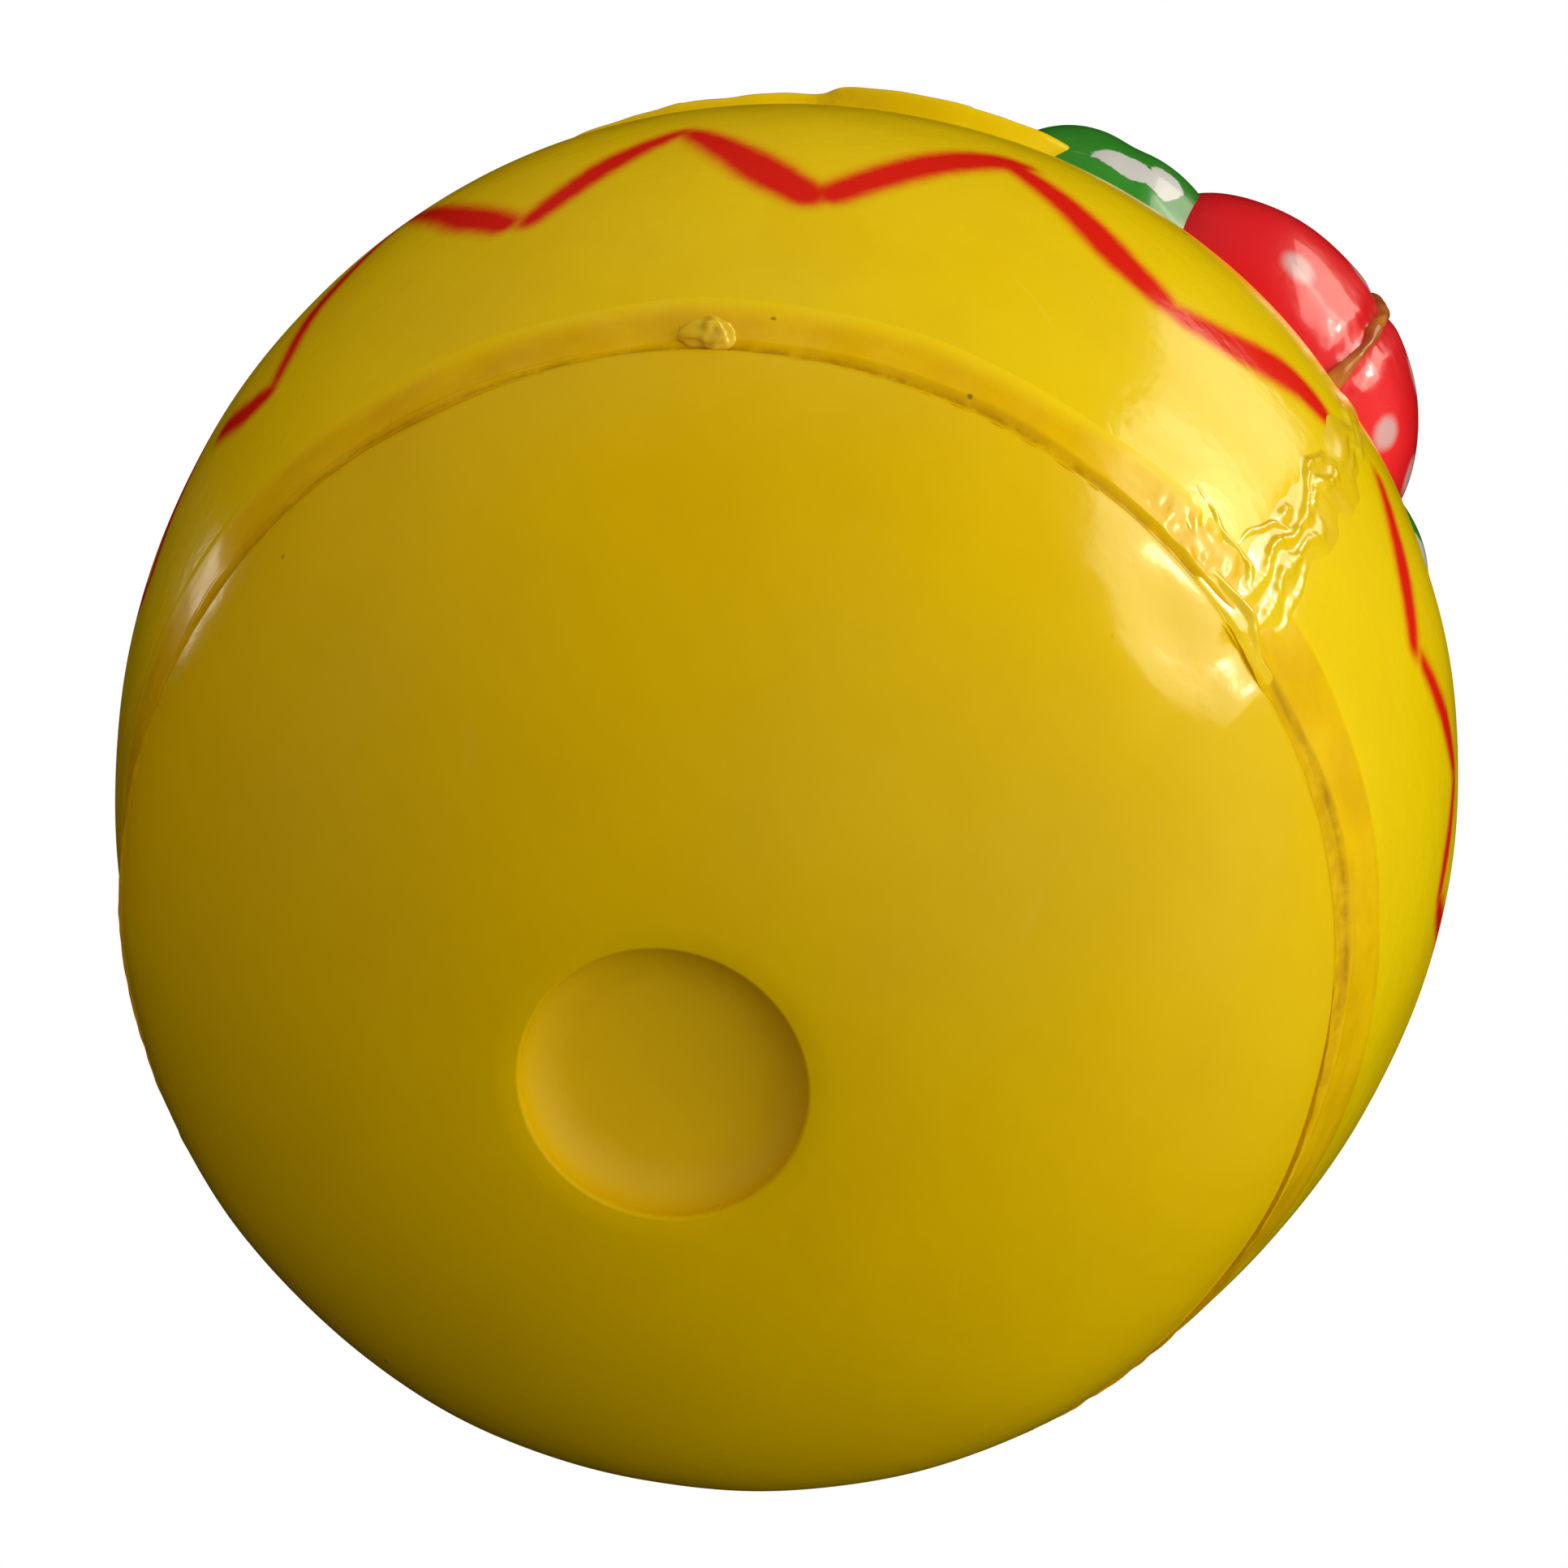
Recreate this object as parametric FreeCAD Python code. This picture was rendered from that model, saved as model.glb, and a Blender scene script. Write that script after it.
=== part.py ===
"""Weighted tumbler ball: a base bowl and two upper half shells cemented together, ballast and chime inside.

Millimetres, +Z up, origin at the centre of the flat ring the ball rests on, front towards -Y.
A turn is an angle from the front about +Z, positive towards +X.
"""
import math
import os

import FreeCAD
import Part

Vector = FreeCAD.Vector
UP = Vector(0, 0, 1)

# Overall size.
ball_radius = 57.7
ball_height = 119.0

# Outside shape, as shares of ball_radius and ball_height from the axis and from the rest ring.
bowl_shares = [(0.468, 0.040), (0.698, 0.122), (0.828, 0.227)]
body_shares = [(0.828, 0.227), (0.955, 0.399), (1.0, 0.565), (0.910, 0.755), (0.745, 0.866), (0.520, 0.945)]
bowl_edge_lean = 17.0
neck_share = 0.925

# Walls and the joints between the three shells.
shell_wall = 1.8
bowl_wall = 2.0
seam_bevel = 0.5
tongue_height = 6.0
tongue_wall = 1.3
tongue_run_in = 6.0
tongue_gap = 0.05

# Recess in the middle of the base and the flat ring round it.
recess_radius = 10.5
recess_depth = 3.2
recess_floor_round = 1.2
recess_rim_round = 0.3
rest_ring_width = 1.2

# Cement strips: how far they stand proud of the shells and how deep they sit in them.
band_height = 8.0
band_proud = 0.15
band_depth = 0.35
front_strip_width = 5.0
back_strip_width = 2.6
strip_proud = 0.25
strip_depth = 0.6
nub_turn = -56.0
nub_half_sizes = (1.7, 1.4, 1.3)

# Crown that closes the neck.
crown_spigot_depth = 5.0
crown_spigot_wall = 1.3
crown_spigot_gap = 0.05

# Raised, hollow decorations on the shoulder. Half sizes run across, outwards and up.
trim_wall = 1.6
trim_height_share = 0.832
cap_radius_share = 0.849
cap_left_half_sizes = (19.0, 12.2, 18.0)
cap_right_half_sizes = (16.5, 12.2, 18.0)
cap_ridge_width = 1.6
cap_ridge_proud = 0.5
cap_ridge_depth = 0.5
leaf_turn = 25.0
leaf_radius_share = 0.815
leaf_half_sizes = (11.5, 9.0, 13.0)
petal_count = 13
petals_left_out_in_front = 2
petal_radius_share = 0.737
petal_height_share = 0.815
petal_half_sizes = (17.0, 12.0, 11.0)

# Ballast, and the chime block clamped on top of it by one screw.
ballast_radius = 27.0
ballast_thickness = 10.0
ballast_gap = 0.5
boss_radius = 4.0
boss_gap = 0.3
boss_below_block_top = 0.4
block_thickness = 5.0
block_margin = 3.0
screw_radius = 1.5
screw_pilot_radius = 1.3
screw_length = 10.0
screw_head_radius = 3.0
screw_head_height = 2.2
screw_slot = 0.8
washer_radius = 8.0
washer_thickness = 1.2
washer_gap = 0.2

# Swinging striker, its pin and frame, and the four rods it rings.
pin_radius = 1.5
pin_running_gap = 0.05
pin_head_radius = 2.6
pin_head_height = 1.0
side_gap = 0.4
hub_radius = 3.6
hub_length = 8.0
arm_radius = 1.2
bob_radius = 6.0
bob_length = 17.0
bob_above_block = 26.0
swing_length = 32.0
swing_limit = 14.5
strike_gap = 0.35
rod_radius = 1.5
rod_spacing = 12.0
rod_socket_depth = 4.0
rod_tops_above_bob = [13.0, 16.0, 19.0, 22.0]
frame_thickness = 1.6
frame_width = 8.0
frame_foot = 7.0
frame_above_pin = 6.0
rivet_radius = 1.2
rivet_head_radius = 2.0
rivet_head_height = 0.9
rivet_depth = 4.0


def spline(points, first=None, last=None):
    """Smooth curve through points, with the directions at its two ends where they are given."""
    curve = Part.BSplineCurve()
    if first is None and last is None:
        curve.interpolate(Points=points)
    else:
        curve.interpolate(Points=points, InitialTangent=first, FinalTangent=last)
    return curve


def side(radius, height):
    """Point of a half section, drawn to the right of the axis."""
    return Vector(radius, 0, height)


def step_along(curve, height):
    """Curve parameter where a rising curve reaches a height."""
    low = curve.FirstParameter
    high = curve.LastParameter
    for _ in range(60):
        middle = (low + high) / 2
        if curve.value(middle).z < height:
            low = middle
        else:
            high = middle
    return (low + high) / 2


def moved_out(curve, step, distance):
    """Point of the curve, moved away from the axis along the curve's normal."""
    direction = curve.tangent(step)[0]
    return curve.value(step) + Vector(direction.z, 0, -direction.x).normalize() * distance


def offset_points(curve, low, high, distance, count=9):
    """Points along the curve between two heights, all moved out by the distance."""
    first = step_along(curve, low)
    last = step_along(curve, high)
    steps = [first + (last - first) * index / (count - 1) for index in range(count)]
    return [moved_out(curve, step, distance) for step in steps]


def section(edges):
    """Flat face bounded by the edges."""
    return Part.Face(Part.Wire(Part.__sortEdges__(edges)))


def ring_section(curve, low, high, outside, inside):
    """Half section of a wall that follows the curve between two heights."""
    outer = offset_points(curve, low, high, outside)
    inner = offset_points(curve, low, high, inside)
    edges = [spline(outer).toShape(), spline(inner).toShape()]
    edges.append(Part.makeLine(outer[0], inner[0]))
    edges.append(Part.makeLine(outer[-1], inner[-1]))
    return section(edges)


def revolved(face):
    """Full turn of a half section about the axis."""
    return face.revolve(Vector(), UP, 360)


def polygon(points):
    """Closed flat face through the points."""
    return Part.Face(Part.makePolygon(points + points[:1]))


def filled_to_axis(curve, low, high):
    """Solid of revolution between the axis and a curve."""
    edges = [curve.toShape()]
    corners = [curve.EndPoint, side(0, high), side(0, low), curve.StartPoint]
    for start, end in zip(corners, corners[1:]):
        if start.distanceToPoint(end) > 1e-6:
            edges.append(Part.makeLine(start, end))
    return revolved(section(edges))


def turned(shape, angle):
    """Copy of the shape turned about the axis."""
    copy = shape.copy()
    copy.rotate(Vector(), UP, angle)
    return copy


def rod(radius, start, direction, length):
    """Round bar from a start point."""
    return Part.makeCylinder(radius, length, start, direction)


def block(width, depth, height, centre):
    """Box about a centre point."""
    return Part.makeBox(width, depth, height, centre - Vector(width, depth, height) * 0.5)


def half_space(sign):
    """Large box that covers everything on one side of the front-to-back plane."""
    size = 4 * ball_height
    return block(size, size, size, Vector(sign * size / 2, 0, 0))


def ellipsoid(half_sizes, radius, height, turn=0.0, shrink=0.0):
    """Egg-shaped solid out at a radius and turn, with every half size reduced by shrink."""
    across, outwards, upwards = [size - shrink for size in half_sizes]
    stretch = FreeCAD.Matrix()
    stretch.scale(across, outwards, upwards)
    shape = Part.makeSphere(1.0).transformGeometry(stretch)
    shape.translate(Vector(0, -radius, height))
    return turned(shape, turn)


def one_solid(shape):
    """The largest solid of a shape, as a plain solid."""
    return max(shape.Solids, key=lambda solid: solid.Volume)


def save(name, shape):
    """Write one node."""
    shape.exportStep("parts/" + name + ".step")


os.makedirs("parts", exist_ok=True)

# Outside curves.
seam_radius = ball_radius * bowl_shares[-1][0]
seam_height = ball_height * bowl_shares[-1][1]
neck_height = ball_height * neck_share
rest_ring_outer = recess_radius + recess_rim_round + rest_ring_width
lean = math.radians(bowl_edge_lean)
bowl_points = [side(rest_ring_outer, 0)]
bowl_points += [side(ball_radius * across, ball_height * up) for across, up in bowl_shares]
bowl_curve = spline(bowl_points, side(25, 3), side(25 * math.sin(lean), 25 * math.cos(lean)))
body_points = [side(ball_radius * across, ball_height * up) for across, up in body_shares]
body_points.append(side(0, ball_height))
body_curve = spline(body_points, side(18, 40), side(-45, 0))

# Base shell: bowl, recess, screw boss and the tongue inside the seam.
pad_height = recess_depth + bowl_wall
ballast_top = pad_height + ballast_thickness
block_top = ballast_top + block_thickness
boss_top = block_top - boss_below_block_top
seam_step = body_curve.FirstParameter
ledge_edge = moved_out(body_curve, seam_step, -seam_bevel)
tongue_base = moved_out(body_curve, seam_step, -shell_wall - tongue_gap)
tongue_top_step = step_along(body_curve, seam_height + tongue_height)
tongue_top = moved_out(body_curve, tongue_top_step, -shell_wall - tongue_gap)
run_in_height = seam_height - tongue_run_in
bowl_edge_height = seam_height - seam_bevel
bowl_edge = bowl_curve.value(step_along(bowl_curve, bowl_edge_height))
bowl_outside = offset_points(bowl_curve, 0, bowl_edge_height, 0)
bowl_inside = offset_points(bowl_curve, pad_height - bowl_wall, run_in_height, -bowl_wall)
corner = math.sqrt(0.5)
floor_corner = side(recess_radius - recess_floor_round, recess_depth - recess_floor_round)
rim_corner = side(recess_radius + recess_rim_round, recess_rim_round)
floor_edge = side(floor_corner.x, recess_depth)
wall_top = side(recess_radius, floor_corner.z)
wall_foot = side(recess_radius, recess_rim_round)
rim_edge = side(rim_corner.x, 0)
floor_middle = floor_corner + side(corner, corner) * recess_floor_round
rim_middle = rim_corner - side(corner, corner) * recess_rim_round
pad_edge = side(bowl_inside[0].x, pad_height)
bowl_edges = [
    Part.makeLine(side(0, recess_depth), floor_edge),
    Part.Arc(floor_edge, floor_middle, wall_top).toShape(),
    Part.makeLine(wall_top, wall_foot),
    Part.Arc(wall_foot, rim_middle, rim_edge).toShape(),
    Part.makeLine(rim_edge, bowl_outside[0]),
    spline(bowl_outside).toShape(),
]
top_line = [
    bowl_outside[-1],
    ledge_edge,
    tongue_base,
    tongue_top,
    tongue_top - side(tongue_wall, 0),
    tongue_base - side(tongue_wall, 0),
    bowl_inside[-1],
]
bowl_edges += [Part.makeLine(start, end) for start, end in zip(top_line, top_line[1:])]
bowl_edges.append(spline(bowl_inside).toShape())
bottom_line = [bowl_inside[0], pad_edge, side(0, pad_height), side(0, recess_depth)]
for start, end in zip(bottom_line, bottom_line[1:]):
    if start.distanceToPoint(end) > 1e-6:
        bowl_edges.append(Part.makeLine(start, end))
bowl = revolved(section(bowl_edges))
boss = rod(boss_radius, Vector(0, 0, pad_height), UP, boss_top - pad_height)
pilot = rod(screw_pilot_radius, Vector(0, 0, boss_top), -UP, screw_length)
base_shell = one_solid(bowl.fuse(boss).cut(pilot))
save("base_shell", base_shell)

# Solids of the whole body, used to trim what sits on it.
body_core = filled_to_axis(body_curve, seam_height, ball_height)


def body_wall(low, high, depth):
    """Ring of the body wall between two heights, with its outside exactly on the body curve."""
    return revolved(ring_section(body_curve, low, high, 1.0, -depth)).common(body_core)



# Raised decorations: whole shapes first, because each is trimmed by the ones in front of it.
trim_height = ball_height * trim_height_share
cap_radius = ball_radius * cap_radius_share
leaf_radius = ball_radius * leaf_radius_share
petal_radius = ball_radius * petal_radius_share
petal_height = ball_height * petal_height_share
sides = {"left": -1, "right": 1}
cap_half_sizes = {"left": cap_left_half_sizes, "right": cap_right_half_sizes}
petal_pitch = 360.0 / petal_count
petal_turns = [petal_pitch * (index + 0.5) for index in range(petal_count)]
skipped = petals_left_out_in_front // 2
petal_turns = petal_turns[skipped:petal_count - skipped]


def cap_pair(shrink):
    """Both halves of the front cap, each cut at the front-to-back plane, as one solid."""
    halves = []
    for name, sign in sides.items():
        egg = ellipsoid(cap_half_sizes[name], cap_radius, trim_height, 0, shrink)
        halves.append(egg.common(half_space(sign)))
    return halves[0].fuse(halves[1])


def leaf(sign, shrink):
    """One leaf beside the cap."""
    return ellipsoid(leaf_half_sizes, leaf_radius, trim_height, sign * leaf_turn, shrink)


def petal_ring(shrink):
    """All petals of the ruffle joined."""
    petals = [ellipsoid(petal_half_sizes, petal_radius, petal_height, turn, shrink) for turn in petal_turns]
    return petals[0].multiFuse(petals[1:])


cap_whole = cap_pair(0)
leaves_whole = {name: leaf(sign, 0) for name, sign in sides.items()}
ruffle_whole = petal_ring(0)
cap_hollow = cap_whole.cut(cap_pair(trim_wall)).cut(body_core)
ruffle_hollow = ruffle_whole.cut(petal_ring(trim_wall)).cut(body_core).cut(cap_whole)
for whole in leaves_whole.values():
    ruffle_hollow = ruffle_hollow.cut(whole)

# Raised ridge of cement where the halves of the front cap meet.
ridge_outside = cap_pair(-cap_ridge_proud)
ridge_inside = cap_pair(cap_ridge_depth)
ridge_slab = block(cap_ridge_width, 4 * ball_radius, 4 * ball_height, Vector())
cap_ridge = ridge_outside.cut(ridge_inside).common(ridge_slab).cut(body_core).cut(ruffle_whole)
cap_ridge = one_solid(cap_ridge)

# Cement strips on the two upright seams and the band along the low one.
strip_top = neck_height - 2.0
strip_section = ring_section(body_curve, seam_height, strip_top, strip_proud, -strip_depth)


def upright_strip(width, turn):
    """Strip of cement along one upright seam."""
    flat = turned(strip_section, turn - 90)
    across = Vector(0, 1, 0).cross(UP)
    flat.translate(across * (-width / 2))
    return flat.extrude(across * width)


front_strip = upright_strip(front_strip_width, 0).cut(cap_ridge).cut(cap_whole)
front_strip = one_solid(front_strip)
back_strip = one_solid(upright_strip(back_strip_width, 180).cut(ruffle_whole))
band_low = seam_height + seam_bevel
band_section = ring_section(body_curve, band_low, seam_height + band_height, band_proud, -band_depth)
seam_band = revolved(band_section).cut(front_strip).cut(back_strip)

# Upper half shells, with the places for the cement cut out.
shell_ring = body_wall(seam_height, neck_height, shell_wall).cut(revolved(band_section))
shell_ring = shell_ring.cut(front_strip).cut(back_strip)
for name, sign in sides.items():
    side_box = half_space(sign)
    save("upper_shell_" + name, one_solid(shell_ring.common(side_box)))
    save("red_cap_" + name, one_solid(cap_hollow.cut(cap_ridge).common(side_box)))
    save("ruffle_" + name, one_solid(ruffle_hollow.common(side_box)))
    leaf_hollow = leaves_whole[name].cut(leaf(sign, trim_wall)).cut(body_core).cut(cap_whole)
    save("green_leaf_" + name, one_solid(leaf_hollow.cut(cap_ridge)))
save("red_cap_ridge", cap_ridge)
save("front_seam_strip", front_strip)
save("back_seam_strip", back_strip)
save("seam_band", seam_band)

# Drop of cement left on the low seam.
nub = ellipsoid(nub_half_sizes, seam_radius + 0.9, seam_height + 1.1, nub_turn)
nub = nub.cut(base_shell).cut(body_core).cut(revolved(band_section))
save("cement_nub", one_solid(nub))

# Crown with its spigot inside the neck.
crown_dome = revolved(ring_section(body_curve, neck_height, ball_height, 0, -shell_wall))
neck_inner = moved_out(body_curve, step_along(body_curve, neck_height), -shell_wall).x
spigot_outer = neck_inner - crown_spigot_gap
spigot_inner = spigot_outer - crown_spigot_wall
spigot_foot = neck_height - crown_spigot_depth
spigot = Part.makeCylinder(spigot_outer, ball_height - spigot_foot, Vector(0, 0, spigot_foot))
spigot = spigot.cut(Part.makeCylinder(spigot_inner, ball_height, Vector(0, 0, spigot_foot)))
mid_wall = spline(offset_points(body_curve, neck_height, ball_height, -shell_wall / 2))
under_crown = filled_to_axis(mid_wall, mid_wall.StartPoint.z, mid_wall.EndPoint.z)
below_neck = Part.makeCylinder(ball_radius, mid_wall.StartPoint.z - spigot_foot, Vector(0, 0, spigot_foot))
spigot = spigot.common(under_crown.fuse(below_neck))
save("crown", one_solid(crown_dome.fuse(spigot)))

# Ballast follows the bowl and has a hole for the boss.
room_low = pad_height - bowl_wall
room_curve = spline(offset_points(bowl_curve, room_low, run_in_height, -bowl_wall - ballast_gap))
room = filled_to_axis(room_curve, room_curve.StartPoint.z, room_curve.EndPoint.z)
centre_well = Part.makeCylinder(pad_edge.x - ballast_gap, ballast_thickness, Vector(0, 0, pad_height))
ballast = Part.makeCylinder(ballast_radius, ballast_thickness, Vector(0, 0, pad_height))
ballast = ballast.common(room.fuse(centre_well))
boss_hole = rod(boss_radius + boss_gap, Vector(), UP, 2 * block_top)
save("ballast", one_solid(ballast.cut(boss_hole)))

# Washer and screw that clamp the chime block and the ballast down on the pad.
washer = Part.makeCylinder(washer_radius, washer_thickness, Vector(0, 0, block_top))
washer = washer.cut(rod(screw_radius + washer_gap, Vector(), UP, 2 * block_top))
save("ballast_washer", washer)
washer_top = block_top + washer_thickness
screw = rod(screw_radius, Vector(0, 0, washer_top), -UP, screw_length)
screw = screw.fuse(rod(screw_head_radius, Vector(0, 0, washer_top), UP, screw_head_height))
slot_centre = Vector(0, 0, washer_top + screw_head_height)
screw = screw.cut(block(2 * screw_head_radius, screw_slot, 2 * screw_slot, slot_centre))
save("ballast_screw", screw)

# Places of the chime parts.
block_radius = ballast_radius - block_margin
bob_height = block_top + bob_above_block
pin_height = bob_height + swing_length
reach = swing_length * math.sin(math.radians(swing_limit)) + bob_radius
rod_offset = reach + strike_gap + rod_radius
leg_inner = block_radius - frame_foot
leg_outer = leg_inner + frame_thickness
frame_top = pin_height + frame_above_pin
along = Vector(0, 1, 0)

# Chime rods stand in the block, two on each side of the striker.
chime_block = Part.makeCylinder(block_radius, block_thickness, Vector(0, 0, ballast_top)).cut(boss_hole)
rod_places = [(-1, -1), (-1, 1), (1, -1), (1, 1)]
for number, (across, back) in enumerate(rod_places):
    foot = Vector(across * rod_offset, back * rod_spacing / 2, block_top - rod_socket_depth)
    top = bob_height + rod_tops_above_bob[number]
    chime_rod = rod(rod_radius, foot, UP, top - foot.z)
    chime_block = chime_block.cut(chime_rod)
    save("chime_rod_" + str(number + 1), chime_rod)

# Frame: two legs with feet turned outwards, and a bar across the top.
frame = block(frame_width, 2 * leg_outer, frame_thickness, Vector(0, 0, frame_top - frame_thickness / 2))
rivets = []
for sign in (-1, 1):
    leg_height = frame_top - block_top
    leg_centre = Vector(0, sign * (leg_inner + frame_thickness / 2), block_top + leg_height / 2)
    frame = frame.fuse(block(frame_width, frame_thickness, leg_height, leg_centre))
    foot_length = frame_foot - 0.5
    foot_centre = Vector(0, sign * (leg_inner + foot_length / 2), block_top + frame_thickness / 2)
    frame = frame.fuse(block(frame_width, foot_length, frame_thickness, foot_centre))
    rivet_y = sign * (leg_outer + foot_length) / 2 + sign * leg_inner / 2
    foot_top = block_top + frame_thickness
    shank = rod(rivet_radius, Vector(0, rivet_y, foot_top), -UP, frame_thickness + rivet_depth)
    head = rod(rivet_head_radius, Vector(0, rivet_y, foot_top), UP, rivet_head_height)
    rivets.append(shank.fuse(head))
    chime_block = chime_block.cut(shank)
    frame = frame.cut(shank)
pin_start = Vector(0, -leg_outer, pin_height)
pin_shank = rod(pin_radius, pin_start, along, 2 * leg_outer)
pin = pin_shank.fuse(rod(pin_head_radius, pin_start, -along, pin_head_height))
pin = pin.fuse(rod(pin_head_radius, Vector(0, leg_outer, pin_height), along, pin_head_height))
frame = frame.cut(pin_shank).removeSplitter()
save("chime_block", one_solid(chime_block))
save("chime_frame", one_solid(frame))
save("frame_rivets", Part.makeCompound(rivets))
save("pivot_pin", pin)
spacer_length = leg_inner - hub_length / 2 - side_gap
for name, start in (("front", -leg_inner), ("back", hub_length / 2 + side_gap)):
    spacer = rod(hub_radius, Vector(0, start, pin_height), along, spacer_length)
    save("pin_spacer_" + name, spacer.cut(pin_shank))

# Striker: hub and arm in one piece, with the bob pressed on its end.
hub_start = Vector(0, -hub_length / 2, pin_height)
striker_arm = rod(arm_radius, Vector(0, 0, bob_height), UP, swing_length)
bob = rod(bob_radius, Vector(0, -bob_length / 2, bob_height), along, bob_length).cut(striker_arm)
striker_arm = striker_arm.fuse(rod(hub_radius, hub_start, along, hub_length))
striker_arm = striker_arm.cut(rod(pin_radius + pin_running_gap, hub_start, along, hub_length))
save("striker_arm", one_solid(striker_arm))
save("striker_bob", bob)
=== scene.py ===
import math

import bmesh
import bpy
import numpy as np
from mathutils import Matrix, Vector


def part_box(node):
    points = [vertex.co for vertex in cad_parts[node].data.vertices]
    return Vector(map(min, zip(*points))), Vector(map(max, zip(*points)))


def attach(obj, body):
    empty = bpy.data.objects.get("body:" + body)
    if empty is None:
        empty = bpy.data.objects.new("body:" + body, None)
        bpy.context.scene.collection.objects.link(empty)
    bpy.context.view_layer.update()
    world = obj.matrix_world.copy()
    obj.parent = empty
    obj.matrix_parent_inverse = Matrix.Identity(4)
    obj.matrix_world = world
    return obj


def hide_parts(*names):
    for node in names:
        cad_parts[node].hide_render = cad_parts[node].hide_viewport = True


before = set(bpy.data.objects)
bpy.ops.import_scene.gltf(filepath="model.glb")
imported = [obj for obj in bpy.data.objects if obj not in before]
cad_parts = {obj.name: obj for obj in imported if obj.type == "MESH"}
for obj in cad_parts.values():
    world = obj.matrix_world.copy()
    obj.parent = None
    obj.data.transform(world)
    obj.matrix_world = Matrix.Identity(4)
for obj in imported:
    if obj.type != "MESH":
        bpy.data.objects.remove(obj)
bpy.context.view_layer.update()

# Lengths are in millimetres until a mesh is made. A turn is in degrees from the front (-Y), positive
# towards +X, and a height is measured from the ring the ball rests on.
MM = 0.001
BALL_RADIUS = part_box("upper_shell_right")[1].x / MM
BALL_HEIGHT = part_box("crown")[1].z / MM
RECESS_RADIUS = 10.5
RECESS_DEPTH = 3.2
RECESS_FLOOR_ROUND = (3.6, 2.6)
RIM_ROUND = 0.3
REST_RING = 1.2
BOWL_WALL = 2.0
SHELL_WALL = 1.8
TRIM_WALL = 1.6
NECK_SHARE = 0.925
CURVE_STEPS = 900
RIPPLE_WAVES = 18
MERGE_DISTANCE = 2e-7


# ---------------------------------------------------------------- shapes

def smooth_curve(points, first, last):
    """Cubic curve through points with continuous slope and bending, its ends aimed along first and last."""
    points = np.array(points, float)
    gaps = np.linalg.norm(np.diff(points, axis=0), axis=1)
    knots = np.concatenate([[0.0], np.cumsum(gaps)])
    size = len(points)
    system = np.eye(size)
    right = np.zeros((size, 2))
    inner = np.arange(1, size - 1)
    before, after = gaps[:-1], gaps[1:]
    system[inner, inner - 1] = after
    system[inner, inner] = 2 * (before + after)
    system[inner, inner + 1] = before
    rise = (points[1:-1] - points[:-2]) / before[:, None]
    fall = (points[2:] - points[1:-1]) / after[:, None]
    right[inner] = 3 * (after[:, None] * rise + before[:, None] * fall)
    right[0] = np.array(first, float) / np.linalg.norm(first)
    right[-1] = np.array(last, float) / np.linalg.norm(last)
    slopes = np.linalg.solve(system, right)
    along = np.linspace(0, knots[-1], CURVE_STEPS)
    piece = np.clip(np.searchsorted(knots, along, "right") - 1, 0, size - 2)
    gap = gaps[piece][:, None]
    step = (along - knots[piece])[:, None] / gap
    start, end = points[piece], points[piece + 1]
    out, into = slopes[piece] * gap, slopes[piece + 1] * gap
    square, cube = step ** 2, step ** 3
    return (start * (2 * cube - 3 * square + 1) + out * (cube - 2 * square + step)
            + end * (3 * square - 2 * cube) + into * (cube - square))


def shares(pairs):
    """Radius and height from shares of the ball's radius and height."""
    return [(BALL_RADIUS * across, BALL_HEIGHT * up) for across, up in pairs]


SEAM_SHARES = (0.828, 0.227)
REST_OUTER = RECESS_RADIUS + RIM_ROUND + REST_RING
LEAN = math.radians(17)
BOWL_CURVE = smooth_curve([(REST_OUTER, 0)] + shares([(0.468, 0.040), (0.698, 0.122), SEAM_SHARES]),
                          (25, 3), (math.sin(LEAN), math.cos(LEAN)))
BODY_SHARES = [SEAM_SHARES, (0.955, 0.399), (1.0, 0.565), (0.910, 0.755), (0.745, 0.866), (0.520, 0.945),
               (0, 1)]
BODY_CURVE = smooth_curve(shares(BODY_SHARES), (18, 40), (-1, 0))
SEAM_HEIGHT = BALL_HEIGHT * SEAM_SHARES[1]
NECK_HEIGHT = BALL_HEIGHT * NECK_SHARE


def curve_length(curve):
    """Length along a curve up to each of its points."""
    return np.concatenate([[0.0], np.cumsum(np.linalg.norm(np.diff(curve, axis=0), axis=1))])


def even_part(curve, low, high, count):
    """Points spread evenly by length on the part of a rising curve between two heights."""
    length = curve_length(curve)
    ends = np.interp([low, high], curve[:, 1], length)
    wanted = np.linspace(ends[0], ends[1], count)
    return np.stack([np.interp(wanted, length, curve[:, 0]), np.interp(wanted, length, curve[:, 1])], -1)


def outward(curve):
    """Unit normals of a rising half section, pointing away from the axis."""
    slope = np.gradient(curve, axis=0)
    slope /= np.linalg.norm(slope, axis=1, keepdims=True)
    return np.stack([slope[:, 1], -slope[:, 0]], -1)


BODY_NORMALS = outward(BODY_CURVE)


def body_radius(height):
    """Radius of the upper body at a height."""
    return np.interp(height, BODY_CURVE[:, 1], BODY_CURVE[:, 0])


def bowl_radius(height):
    """Radius of the base bowl at a height."""
    return np.interp(height, BOWL_CURVE[:, 1], BOWL_CURVE[:, 0])


def on_body(turn, height, offset):
    """Point on the upper body, moved off the surface along its normal."""
    normal_out = np.interp(height, BODY_CURVE[:, 1], BODY_NORMALS[:, 0])
    normal_up = np.interp(height, BODY_CURVE[:, 1], BODY_NORMALS[:, 1])
    return place(body_radius(height) + offset * normal_out, turn, height + offset * normal_up)


def place(radius, turn, height):
    """Point at a radius, turn and height."""
    radius, turn, height = np.broadcast_arrays(radius, np.radians(turn), height)
    return np.stack([radius * np.sin(turn), -radius * np.cos(turn), height], -1).astype(float)


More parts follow.
